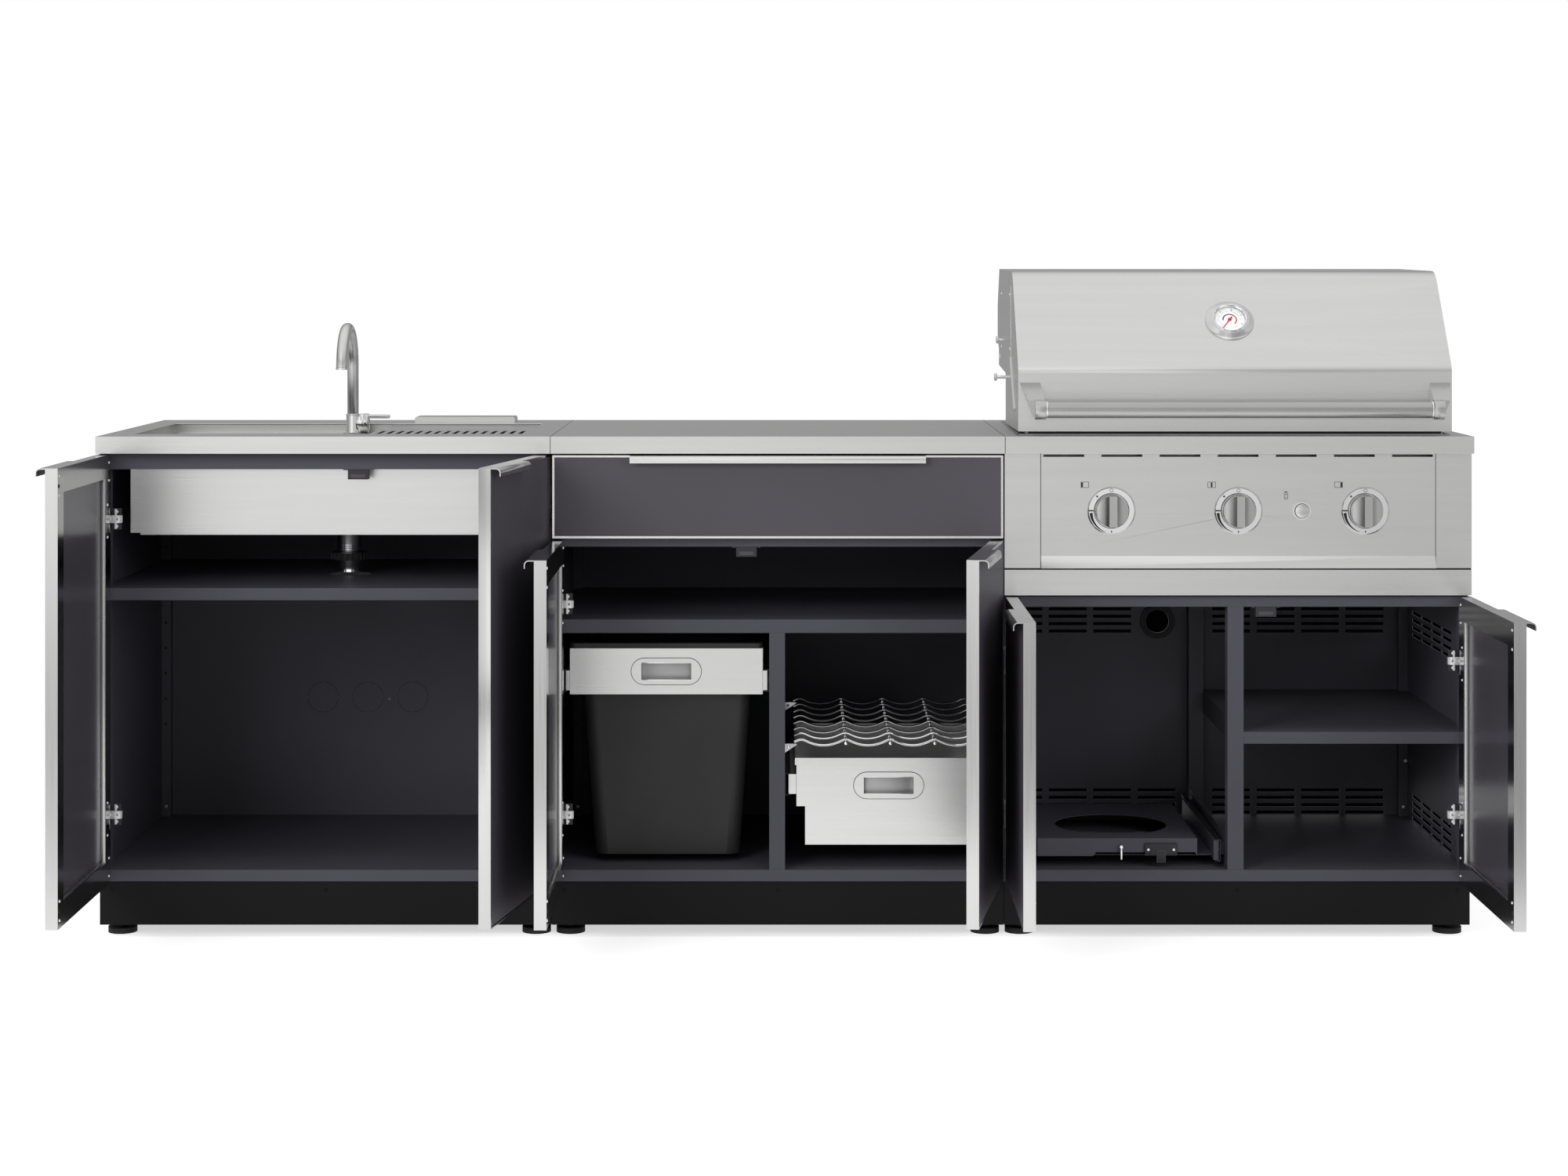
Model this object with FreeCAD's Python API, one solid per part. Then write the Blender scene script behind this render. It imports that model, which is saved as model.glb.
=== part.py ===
import FreeCAD, Part
import math
import os

os.makedirs("parts", exist_ok=True)
V = FreeCAD.Vector

# Layout frame: X along the run with 0 at its middle, Y to the back with 0 at
# the counter front, Z up from the floor, millimetres.

# Overall: two equal modules and a slightly wider one, 32 to 32 to 33
RUN = 2463.8
MODULE_W = RUN * 32 / 97
DEPTH = 609.6
COUNTER_TOP = 901.7
LIP = 30.7
COUNTER_LOW = COUNTER_TOP - LIP
TOP_SHEET = 1.5
SHEET = 1.2
SEAM = 0.4
PLAY = 0.3
X_SINK = -RUN / 2
X_BAR = X_SINK + MODULE_W
X_GRILL = X_BAR + MODULE_W
X_END = RUN / 2
SINK = (X_SINK, X_BAR)
BAR = (X_BAR, X_GRILL)
GRILL = (X_GRILL, X_END)
SINK_X = (X_SINK + X_BAR) / 2
BAR_X = (X_BAR + X_GRILL) / 2
GRILL_X = (X_GRILL + X_END) / 2

# Cabinet frame
FRAME_Y = 36.0
STILE_Y = 50.0
STILE_W = 14.0
STILE_D = 22.0
BACK_IN = DEPTH - 15.6
BACK_OUT = BACK_IN + SHEET
POST_W = 18.0
POST_Y = BACK_IN - 19.0
FLOOR_LOW = 100.2
FLOOR_TOP = 120.6
PAN_RETURN = 13.0
KICK_LOW = 22.0
KICK_TOP = 98.6
KICK_SHEET = 1.5
KICK_RETURN = 76.0
FOOT_R = 26.0
FOOT_STEM_R = 6.0
FOOT_DISC_H = 10.0
FOOT_IN = 31.0
FOOT_Y = (86.0, BACK_IN - 49.0)
KNOCKOUT_R = 30.6
KNOCKOUT_SLIT = 1.0
KNOCKOUT_TAB = 3.2
KNOCKOUT_PITCH = 88.8
KNOCKOUT_Z = 353.7

# Rails and shelves
RAIL_DEEP = 13.0
SINK_RAIL = (COUNTER_LOW - 30.0, COUNTER_LOW)
BAR_TOP_RAIL = (COUNTER_LOW - 12.0, COUNTER_LOW)
BAR_RAIL = (COUNTER_LOW - 169.0, COUNTER_LOW - 155.0)
GRILL_RAIL = (COUNTER_LOW - 277.0, COUNTER_LOW - 260.0)
GRILL_ROOF = GRILL_RAIL[1] + SHEET
SINK_SHELF = (605.5, 627.0)
BAR_SHELF = (546.6, 570.7)
GRILL_SHELF = (347.5, 368.8)
SHELF_HOLE_R = 40.0
BAR_DIVIDER = (BAR_X - 15.3, BAR_X + 13.1)
GRILL_POST = (GRILL_X - 16.8, GRILL_X + 12.2)
GRILL_POST_D = 32.0
LOW_SPACER_X = X_GRILL - 32.2
LOW_SPACER_Z = (250.0, 290.0)
TRAY_SPACER_X = GRILL_POST[0] - 9.0
CATCHES = ((SINK_X + 57.9, SINK_RAIL[0]), (BAR_X - 56.4, BAR_RAIL[0]),
           (GRILL_X + 52.8, GRILL_RAIL[0]))

# Vents in the grill cabinet
VENT_GAP = 12.5
VENT_COUNT = 4
VENT_H = 6.5
VENT_ROW = 14.6
VENT_HIGH = GRILL_RAIL[0] - 66.0
VENT_LOW = 169.3
LEFT_VENTS = (X_GRILL + 41.3, GRILL_POST[0] - 21.5)
RIGHT_VENTS = (GRILL_POST[1] + 22.0, X_END - 45.4)
SIDE_VENTS = (184.0, DEPTH - 77.1)
GROMMET = (GRILL_POST[0] - 58.1, GRILL_RAIL[0] - 90.1)
GROMMET_BORE_R = 22.7
GROMMET_NECK_R = 25.8
GROMMET_FLANGE_R = 34.4

# Doors
DOOR_FRONT = 12.0
DOOR_BACK = 33.0
DOOR_GAP = 4.2
DOOR_LOW = 101.0
SINK_DOOR_TOP = COUNTER_LOW - 2.0
BAR_DOOR_TOP = COUNTER_LOW - 155.0
GRILL_DOOR_TOP = COUNTER_LOW - 257.0
PANEL_EDGE = 4.0
PANEL_DEEP = 0.8
PANEL_GAP = 0.2
PANEL_SET = 0.2
INNER_BORDER = 42.0
INNER_FACE = 25.0
OPEN_FULL = 90.0
OPEN_PART = 80.0
PULL_OUT = 16.8
PULL_DROP = 13.7
PULL_SHEET = 1.8
PULL_BEND = 8.0
PULL_LONG = 200.0

# Door hinges: the pin is so near the corner that a door opens past 90 degrees
# without crossing the seam to its neighbour
HINGE_IN = 4.5
HINGE_DEEP = 7.0
HINGE_END = 118.0
HINGE_PIN_R = 2.5
HINGE_BORE_R = 2.55
HINGE_BARREL_R = 4.2
HINGE_ARM = 4.0
HINGE_HALF = 22.0
HINGE_SLOT = 0.3
HINGE_PIN_HALF = 31.5
HINGE_BLOCK = 16.0
HINGE_BLOCK_HALF = 34.0
NOTCH_IN = 9.5
NOTCH_DEEP = 2.2
ARM_BLOCK_X = 34.8
ARM_BLOCK_Y = (38.0, 46.0)

# Slides
SLIDE_SHEET = 1.5
SLIDE_PLAY = 0.5
SLIDE_HALF = 20.0
SLIDE_DEEP = 9.5
SLIDE_END = DEPTH - 69.6
RUNNER_END = DEPTH - 109.6
TOP_SLIDE_Z = COUNTER_LOW - 81.0
BIN_SLIDE_Z = 458.0
LOW_SLIDE_Z = 270.0
TRAY_SLIDE_Z = 151.0

# Wide drawer
DRAWER_GAP = 3.0
DRAWER_FRONT = 8.0
DRAWER_FACE_BACK = 30.0
DRAWER_Z = (COUNTER_LOW - 152.0, COUNTER_LOW - 3.0)
DRAWER_PULL = MODULE_W - 283.8
DRAWER_BOX_X = (X_BAR + 31.1, X_GRILL - 31.1)
DRAWER_BOX_Z = (COUNTER_LOW - 139.0, COUNTER_LOW - 25.0)
DRAWER_BACK = POST_Y - 55.0
DRAWER_RUNNER = 12.0

# Pull-out bin
BIN_FRONT_X = (X_BAR + 30.7, BAR_DIVIDER[0] - 11.7)
BIN_FRONT_Z = (433.0, 516.0)
BIN_FRONT_Y = 60.0
BIN_BACK_Y = 470.0
BIN_RUNNERS = (7.2, 8.0)
BIN_Y = (82.0, 452.0)
BIN_SIDE = 16.4
BIN_TAPER = 26.0
BIN_WALL = 2.5
BIN_CORNER = 24.0
BIN_RIM_CORNER = 10.0
BIN_BASE_Z = 135.6
BIN_RIM_Z = 524.6

# Lower drawer
LOW_X = (BAR_DIVIDER[1] + 20.4, X_GRILL - 39.1)
LOW_Z = (231.0, 305.5)
LOW_RIM_Z = 318.6
LOW_LIPS = (2.8, 0.9)
LOW_STEP = 15.7
LOW_BOX_Z = 161.0
LOW_FRONT_Y = 60.0
LOW_BACK_Y = 480.0
LOW_PULL_Z = 268.5
LOW_RUNNERS = (14.0, 4.5)
LOW_RUNNER_Y = (66.0, 84.0)

# Flush pulls
OVAL = (127.6, 48.5)
OVAL_SHEET = 0.8
FINGER = (89.6, 29.3)
FINGER_DEEP = 12.8

# Bottle rack
RACK_X = (BAR_DIVIDER[1] + 16.6, X_GRILL - 35.7)
RACK_Y = 50.0
RACK_STEP = 66.0
RACK_WIRES = 8
RACK_PITCH = (RACK_X[1] - RACK_X[0]) / 4.247
RACK_FIRST = RACK_X[0] + 1.158 * RACK_PITCH
RACK_CREST = 355.0
RACK_RISE = 1.3
RACK_SAG = 10.0
CREST_HALF = 8.15
WIRE = 4.5
ROD_R = 3.0

# Sink
RECESS_X = (X_SINK + 51.9, X_BAR - 50.9)
RECESS_Y = (88.0, 464.0)
BASIN_X = (X_SINK + 45.9, X_BAR - 45.9)
BASIN_Y = (80.0, 472.0)
BASIN_LOW = COUNTER_TOP - 178.7
BASIN_WALL = 1.5
BASIN_FLANGE = 9.0
LEDGE_Z = COUNTER_TOP - 17.7
LEDGE_Y = 395.0
LEDGE_FRONT = 95.0
DRAIN = (SINK_X + 5.5, 300.0)
DRAIN_R = 23.0
DRAIN_BORE_R = 17.5
DRAIN_HOLE_R = 23.3
DRAIN_FLANGE_R = 42.0
TAIL_R = 19.05
TAIL_LOW = BASIN_LOW - 91.0
NUT_Z = (BASIN_LOW - 68.0, BASIN_LOW - 54.0)
NUT_R = 34.0
BOARD_X = (SINK_X + 60.5, X_BAR - 52.9)
BOARD_Y = (90.0, 462.0)
BOARD_TOP = COUNTER_TOP - 3.7
SLOTS = 16
SLOT_PITCH = (BOARD_X[1] - BOARD_X[0] - 32.0) / (SLOTS - 1)
SLOT_W = 8.0
SLOT_Y = (165.0, 275.0)
DECK_X = (X_BAR - 302.9, X_BAR - 107.9)
DECK_Y = (DEPTH - 105.6, DEPTH - 40.6)
DECK_H = 11.0
DECK_BEND = 4.0

# Faucet
FAUCET = (SINK_X - 6.5, 430.0)
BODY_R = 13.0
BODY_TOP = COUNTER_TOP + 20.3
RISER_R = 10.8
GOOSE_R = 74.0
GOOSE_Z = COUNTER_TOP + 112.2
MOUTH_R = 7.5
SPIGOT_R = 8.0
SPIGOT_BORE_R = 8.05
SPIGOT_L = 21.5
HUB_R = 19.0
HUB_Z = COUNTER_TOP + 2.3
HUB_X = (FAUCET[0] + 12.5, FAUCET[0] + 21.0)
CAP_X = (FAUCET[0] + 21.3, FAUCET[0] + 30.0)
SPINDLE_R = 4.0
SPINDLE_BORE_R = 4.05
LEVER_R = 4.0
LEVER_OFF = 13.2
LEVER_X = FAUCET[0] + 70.0

# Grill head
SURROUND_Y = 20.0
FOLD = 28.0
PILLAR_W = 64.6
RAIL_Z = (COUNTER_LOW - 255.0, COUNTER_LOW - 209.5)
HEAD_LOW = RAIL_Z[1] + 3.5
PANEL_X = (X_GRILL + SEAM + PILLAR_W + 0.4, X_END - SEAM - PILLAR_W - 0.4)
PANEL_TOP = COUNTER_LOW - 0.6
PANEL_FOLD = 22.0
BEVEL_Z = RAIL_Z[1] + 25.1
BEVEL_OUT = 7.0
LOUVRES = 7
LOUVRE_GAP = 31.2
LOUVRE_MARGIN = 4.6
LOUVRE_ROW = PANEL_X[1] - PANEL_X[0] - 2 * LOUVRE_MARGIN
LOUVRE_L = (LOUVRE_ROW - (LOUVRES - 1) * LOUVRE_GAP) / LOUVRES
LOUVRE_Z = (PANEL_TOP - 5.8, PANEL_TOP - 1.8)
KNOB_Z = COUNTER_LOW - 103.2
KNOB_DX = (PANEL_X[1] - PANEL_X[0]) * 0.3215
KNOB_R = 28.8
KNOB_Y = (0.0, 17.0)
GRIP_W = 14.0
GRIP_L = 55.0
GRIP_FRONT = -16.0
BEZEL_R = 43.2
RING_R = 32.0
STEM_R = 4.0
STEM_BORE_R = 4.05
IGNITER_X = GRILL_X + KNOB_DX * 0.498
BUTTON_R = 12.5
BUTTON_BORE_R = 12.55
BUTTON_RING_R = 16.3
BUTTON_SLEEVE_R = 14.5

# Firebox and burners
BOX_X = (X_GRILL + 42.3, X_END - 42.3)
BOX_Y = (70.0, DEPTH - 84.6)
BOX_LOW = COUNTER_TOP - 201.7
BOX_FRONT_TOP = COUNTER_TOP + 28.3
PIVOT = (BOX_Y[1], COUNTER_TOP + 128.3)
BOX_BACK_TOP = PIVOT[1] - 45.0
BOX_SHEET = 2.0
BOX_RIM = (8.0, 12.0)
CUT_GAP = 2.0
GRATE_LOW = COUNTER_TOP - 1.7
GRATE_H = 9.0
GRATE_BAR = 8.0
GRATE_BARS = 13
TAMER_LOW = COUNTER_TOP - 51.7
TAMER_HALF = 46.0
TAMER_H = 27.0
BURNER_Z = COUNTER_TOP - 89.7
BURNER_R = 16.0
BURNER_Y = (63.0, BOX_Y[1] - 45.0)
MANIFOLD_R = 9.0
MANIFOLD_IN = 40.0
WARM_Z = COUNTER_TOP + 158.3
WARM_BAR = 5.0
WARM_BARS = 25
WARM_Y = (382.0, 440.0, 495.0)
WARM_FEET = ((393.0, COUNTER_TOP + 83.2), (482.0, COUNTER_TOP + 133.3))
TRAY_HALF = 190.0
DRIP_H = 32.0

# Hood
HOOD_X = (BOX_X[0] - 14.7, BOX_X[1] + 14.7)
PIVOT_R = 5.0
PIVOT_BORE_R = 5.05
HOOD_LOW = COUNTER_TOP + 6.3
HOOD_FRONT = 58.0
SLOPE_LOW = (HOOD_FRONT, COUNTER_TOP + 120.6)
SLOPE_HIGH = (200.7, COUNTER_TOP + 295.4)
LID_END = (PIVOT[0] + 14.0, COUNTER_TOP + 299.8)
HOOD_BACK = PIVOT[0] + 62.0
REAR_LIP = PIVOT[0] + 27.0
SIDE_STEP = PIVOT[0] - 155.0
SLOPE_BEND = 24.0
TOP_BEND = 59.0
HANDLE_Y = 6.0
HANDLE_Z = COUNTER_TOP + 47.8
HANDLE_R = 15.0
HANDLE_IN = 44.2
FERRULE_R = 17.5
GAUGE_ALONG = 0.481
GAUGE_R = 44.5
DIAL_R = 29.0
NEEDLE_PIN_R = 1.0
NEEDLE_BORE_R = 1.05
NEEDLE_L = 24.0
NEEDLE_ANGLE = 235.0

# Tank tray
TRAY_X = (X_GRILL + 63.3, GRILL_POST[0] - 50.0)
TRAY_Y = (70.0, 430.0)
TRAY_Z = (139.0, 171.0)
TRAY_BASE_X = (X_GRILL + 29.3, TRAY_SPACER_X - 12.0)
TRAY_RUNNERS = (5.0, 9.0)
TANK_HOLE = ((TRAY_X[0] + TRAY_X[1]) / 2 + 2.5, 212.0)
TANK_HOLE_R = 102.5

NODES = {}


def put(node, *shapes):
    NODES.setdefault(node, []).extend(shapes)


def box(x0, x1, y0, y1, z0, z1):
    return Part.makeBox(x1 - x0, y1 - y0, z1 - z0, V(x0, y0, z0))


def rod_x(r, x0, x1, y, z):
    return Part.makeCylinder(r, x1 - x0, V(x0, y, z), V(1, 0, 0))


def rod_y(r, y0, y1, x, z):
    return Part.makeCylinder(r, y1 - y0, V(x, y0, z), V(0, 1, 0))


def rod_z(r, z0, z1, x, y):
    return Part.makeCylinder(r, z1 - z0, V(x, y, z0), V(0, 0, 1))


def face_of(points):
    return Part.Face(Part.makePolygon(points + points[:1]))


def prism_x(points, x0, x1):
    return face_of([V(x0, y, z) for y, z in points]).extrude(V(x1 - x0, 0, 0))


def prism_y(points, y0, y1):
    return face_of([V(x, y0, z) for x, z in points]).extrude(V(0, y1 - y0, 0))


def prism_z(points, z0, z1):
    return face_of([V(x, y, z0) for x, y in points]).extrude(V(0, 0, z1 - z0))


def lathe(profile):
    """Turns a list of (radius, height) points about the Z axis."""
    return face_of([V(r, 0, h) for r, h in profile]).revolve(V(0, 0, 0), V(0, 0, 1), 360)


def cut(shape, *tools):
    for tool in tools:
        shape = shape.cut(tool)
    return shape


def joined(*shapes):
    shape = shapes[0]
    for other in shapes[1:]:
        shape = shape.fuse(other)
    return shape.removeSplitter()


def flipped(shape, x_plane):
    return shape.mirror(V(x_plane, 0, 0), V(1, 0, 0))


def turned(shape, point, axis, degrees):
    copy = shape.copy()
    copy.rotate(V(*point), V(*axis), degrees)
    return copy


def moved(shape, x, y, z):
    copy = shape.copy()
    copy.translate(V(x, y, z))
    return copy


def rounded(shape, radius, wanted):
    """Rounds the edges for which the test is true."""
    return shape.makeFillet(radius, [e for e in shape.Edges if wanted(e)])


# Cabinets


def inner_span(span):
    return span[0] + SEAM + SHEET, span[1] - SEAM - SHEET


def channel_x(x0, x1, y0, z0, z1, deep):
    """Folded rail: front sheet with a flange at the top and the bottom."""
    y1 = y0 + deep
    points = [(y0, z0), (y1, z0), (y1, z0 + SHEET), (y0 + SHEET, z0 + SHEET),
              (y0 + SHEET, z1 - SHEET), (y1, z1 - SHEET), (y1, z1), (y0, z1)]
    return prism_x(points, x0, x1)


def pan_x(x0, x1, y0, y1, z0, z1):
    """Folded floor or shelf: top sheet, front and back lips, front return."""
    t = SHEET
    y2 = y0 + PAN_RETURN
    points = [(y0, z0), (y2, z0), (y2, z0 + t), (y0 + t, z0 + t), (y0 + t, z1 - t),
              (y1 - t, z1 - t), (y1 - t, z0), (y1, z0), (y1, z1), (y0, z1)]
    return prism_x(points, x0, x1)


def stile(x, z0, z1):
    t = SHEET
    y = STILE_Y
    points = [(x, y), (x + STILE_W, y), (x + STILE_W, y + STILE_D),
              (x + STILE_W - t, y + STILE_D), (x + STILE_W - t, y + t), (x, y + t)]
    return prism_z(points, z0, z1)


def rear_post(x, z0, z1):
    t = SHEET
    y = POST_Y
    points = [(x, y), (x + POST_W, y), (x + POST_W, BACK_IN),
              (x + POST_W - t, BACK_IN), (x + POST_W - t, y + t), (x, y + t)]
    return prism_z(points, z0, z1)


def frame_posts(span, z1):
    left = inner_span(span)[0]
    middle = (span[0] + span[1]) / 2
    front = stile(left, FLOOR_TOP, z1)
    rear = rear_post(left, FLOOR_TOP, z1)
    return [front, rear, flipped(front, middle), flipped(rear, middle)]


def cabinet(span, z1):
    """Back, two sides and the floor of one module."""
    left, right = inner_span(span)
    back = box(left, right, BACK_IN, BACK_OUT, FLOOR_LOW, z1)
    side = box(left - SHEET, left, FRAME_Y, BACK_OUT, FLOOR_LOW, z1)
    other = flipped(side, (span[0] + span[1]) / 2)
    floor = pan_x(left, right, FRAME_Y, BACK_IN, FLOOR_LOW, FLOOR_TOP)
    return back, side, other, floor


def ring_slit(x, z):
    """Knock-out: a round slit left whole at four tabs."""
    y0, y1 = BACK_IN - 1, BACK_OUT + 1
    r, half = KNOCKOUT_R, KNOCKOUT_TAB / 2
    ring = cut(rod_y(r, y0, y1, x, z), rod_y(r - KNOCKOUT_SLIT, y0, y1, x, z))
    bars = [box(x - half, x + half, y0, y1, z - r - 1, z + r + 1),
            box(x - r - 1, x + r + 1, y0, y1, z - half, z + half)]
    return cut(ring, *bars)


def sink_cabinet():
    left, right = inner_span(SINK)
    back, side, other, floor = cabinet(SINK, COUNTER_LOW)
    for i in (-1, 0, 1):
        back = back.cut(ring_slit(SINK_X + i * KNOCKOUT_PITCH, KNOCKOUT_Z))
    rail = channel_x(left, right, FRAME_Y, *SINK_RAIL, RAIL_DEEP)
    put("sink_cabinet", back, side, other, floor, rail)
    put("sink_cabinet", *frame_posts(SINK, COUNTER_LOW))


def bar_cabinet():
    left, right = inner_span(BAR)
    back, side, other, floor = cabinet(BAR, COUNTER_LOW)
    top = channel_x(left, right, FRAME_Y, *BAR_TOP_RAIL, RAIL_DEEP)
    rail = channel_x(left, right, FRAME_Y, *BAR_RAIL, RAIL_DEEP)
    put("bar_cabinet", back, side, other, floor, top, rail)
    put("bar_cabinet", *frame_posts(BAR, COUNTER_LOW))


def vent_row(span):
    """Start and end of each slot of one row."""
    length = (span[1] - span[0] - (VENT_COUNT - 1) * VENT_GAP) / VENT_COUNT
    starts = [span[0] + i * (length + VENT_GAP) for i in range(VENT_COUNT)]
    return [(start, start + length) for start in starts]


def vent_heights(top):
    return [top - i * VENT_ROW for i in range(VENT_COUNT)]


def back_vents():
    y0, y1, half = BACK_IN - 1, BACK_OUT + 1, VENT_H / 2
    left, right = vent_row(LEFT_VENTS), vent_row(RIGHT_VENTS)
    slots = []
    for top, columns in ((VENT_HIGH, left[:-1] + right), (VENT_LOW, left + right)):
        for z in vent_heights(top):
            slots += [box(x0, x1, y0, y1, z - half, z + half) for x0, x1 in columns]
    return Part.makeCompound(slots)


def side_vents(x0, x1):
    half = VENT_H / 2
    slots = [box(x0, x1, y0, y1, z - half, z + half)
             for z in vent_heights(VENT_HIGH) + vent_heights(VENT_LOW)
             for y0, y1 in vent_row(SIDE_VENTS)]
    return Part.makeCompound(slots)


def grill_cabinet():
    left, right = inner_span(GRILL)
    back, side, other, floor = cabinet(GRILL, GRILL_ROOF)
    hole = rod_y(GROMMET_NECK_R + 0.2, BACK_IN - 1, BACK_OUT + 1, *GROMMET)
    back = cut(back, back_vents(), hole)
    other = other.cut(side_vents(right - 1, right + SHEET + 1))
    rail = channel_x(left, right, FRAME_Y, *GRILL_RAIL, RAIL_DEEP)
    roof = box(left, right, FRAME_Y, BACK_IN, GRILL_RAIL[1], GRILL_ROOF)
    put("grill_cabinet", back, side, other, floor, rail, roof)
    put("grill_cabinet", *frame_posts(GRILL, GRILL_RAIL[1]))


def toe_kicks():
    t = KICK_SHEET
    y0, y1 = FRAME_Y, BACK_OUT
    front = [(y0, KICK_LOW), (y0 + KICK_RETURN, KICK_LOW), (y0 + KICK_RETURN, KICK_LOW + t),
             (y0 + t, KICK_LOW + t), (y0 + t, KICK_TOP), (y0, KICK_TOP)]
    rear = [(y1, KICK_LOW), (y1, FLOOR_LOW), (y1 - t, FLOOR_LOW), (y1 - t, KICK_LOW + t),
            (y1 - KICK_RETURN, KICK_LOW + t), (y1 - KICK_RETURN, KICK_LOW)]
    for x0, x1 in (SINK, BAR, GRILL):
        xa, xb = x0 + SEAM, x1 - SEAM
        end = box(xa, xa + t, y0 + t, y1 - t, KICK_LOW + t, FLOOR_LOW)
        put("toe_kicks", prism_x(front, xa, xb), prism_x(rear, xa, xb),
            end, flipped(end, (x0 + x1) / 2))


def leveling_feet():
    r, neck = FOOT_R, FOOT_STEM_R
    foot = lathe([(0, 0), (r, 0), (r, FOOT_DISC_H), (neck, FOOT_DISC_H), (neck, KICK_LOW),
                  (0, KICK_LOW)])
    for x0, x1 in (SINK, BAR, GRILL):
        for x in (x0 + FOOT_IN, x1 - FOOT_IN):
            for y in FOOT_Y:
                put("leveling_feet", moved(foot, x, y, 0))


def shelf_notches(span, z0, z1):
    """Cut-outs that let a shelf pass the front stiles and the rear posts."""
    left = inner_span(span)[0]
    middle = (span[0] + span[1]) / 2
    stile_cut = box(left - 1, left + STILE_W + PLAY, STILE_Y - PLAY,
                    STILE_Y + STILE_D + PLAY, z0 - 1, z1 + 1)
    post_cut = box(left - 1, left + POST_W + PLAY, POST_Y - PLAY, BACK_OUT, z0 - 1, z1 + 1)
    return [stile_cut, post_cut, flipped(stile_cut, middle), flipped(post_cut, middle)]


def shelf(span, x0, z):
    right = inner_span(span)[1]
    return cut(pan_x(x0, right, FRAME_Y, BACK_IN, *z), *shelf_notches(span, *z))


def shelves():
    hole = rod_z(SHELF_HOLE_R, SINK_SHELF[0] - 1, SINK_SHELF[1] + 1, *DRAIN)
    put("shelves", shelf(SINK, inner_span(SINK)[0], SINK_SHELF).cut(hole),
        shelf(BAR, inner_span(BAR)[0], BAR_SHELF), shelf(GRILL, GRILL_POST[1], GRILL_SHELF))


def tube_z(x0, x1, y0, y1, z0, z1):
    t = SHEET
    inner = box(x0 + t, x1 - t, y0 + t, y1 - t, z0 - 1, z1 + 1)
    return box(x0, x1, y0, y1, z0, z1).cut(inner)


def dividers():
    put("dividers", tube_z(*BAR_DIVIDER, FRAME_Y, BACK_IN, FLOOR_TOP, BAR_SHELF[0]))
    x0, x1 = GRILL_POST
    y0, y1 = FRAME_Y + GRILL_POST_D, BACK_IN - GRILL_POST_D
    front = tube_z(x0, x1, FRAME_Y, y0, FLOOR_TOP, GRILL_RAIL[0])
    rear = tube_z(x0, x1, y1, BACK_IN, FLOOR_TOP, GRILL_RAIL[1])
    low = box(x0, x0 + SHEET, y0, y1, FLOOR_TOP, FLOOR_TOP + 60)
    ledge = box(x1 - SHEET, x1, y0, y1, GRILL_SHELF[0] - 20, GRILL_SHELF[1])
    put("dividers", front, rear, low, ledge)
    slide_spacers()


def slide_spacers():
    """Pieces that bring the inner slides level with the pull-outs."""
    x, right = LOW_SPACER_X, inner_span(BAR)[1]
    z0, z1 = LOW_SPACER_Z
    outline = [(right, z0), (x, z0), (x, z1), (right, z1), (right, z1 - SHEET),
               (x + SHEET, z1 - SHEET), (x + SHEET, z0 + SHEET), (right, z0 + SHEET)]
    put("dividers", prism_y(outline, 90, SLIDE_END))
    for y in (80.0, SLIDE_END - 40):
        put("dividers", box(TRAY_SPACER_X, GRILL_POST[0], y, y + 30,
                            TRAY_SLIDE_Z - 11, TRAY_SLIDE_Z + 11))


# Doors


def j_pull(x0, x1, y, z):
    """Bent pull on the top edge of a front whose face is at y, top at z."""
    r, t = PULL_BEND, PULL_SHEET
    tip = y - PULL_OUT
    k = math.sqrt(0.5)

    def at(dy, dz):
        return V(x0, tip + dy, z - dz)

    outer = Part.Arc(at(r, 0), at(r - r * k, r - r * k), at(0, r)).toShape()
    q = r - t
    inner = Part.Arc(at(t, r), at(r - q * k, r - q * k), at(r, t)).toShape()
    edges = [Part.makeLine(at(PULL_OUT, 0), at(r, 0)), outer,
             Part.makeLine(at(0, r), at(0, PULL_DROP)),
             Part.makeLine(at(0, PULL_DROP), at(t, PULL_DROP)),
             Part.makeLine(at(t, PULL_DROP), at(t, r)), inner,
             Part.makeLine(at(r, t), at(PULL_OUT, t)),
             Part.makeLine(at(PULL_OUT, t), at(PULL_OUT, 0))]
    return Part.Face(Part.Wire(edges)).extrude(V(x1 - x0, 0, 0))


def parted_at_bend(pull, y, z):
    """A long pull in two strips, shelf and lip, that meet at the middle of its bend."""
    yc, zc, far = y - PULL_OUT + PULL_BEND, z - PULL_BEND, 2 * PULL_OUT
    corner = [(yc - far, zc + far), (yc + far, zc - far), (yc + far, zc + far)]
    upper = prism_x(corner, pull.BoundBox.XMin - 1, pull.BoundBox.XMax + 1)
    return pull.common(upper), pull.cut(upper)


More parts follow.
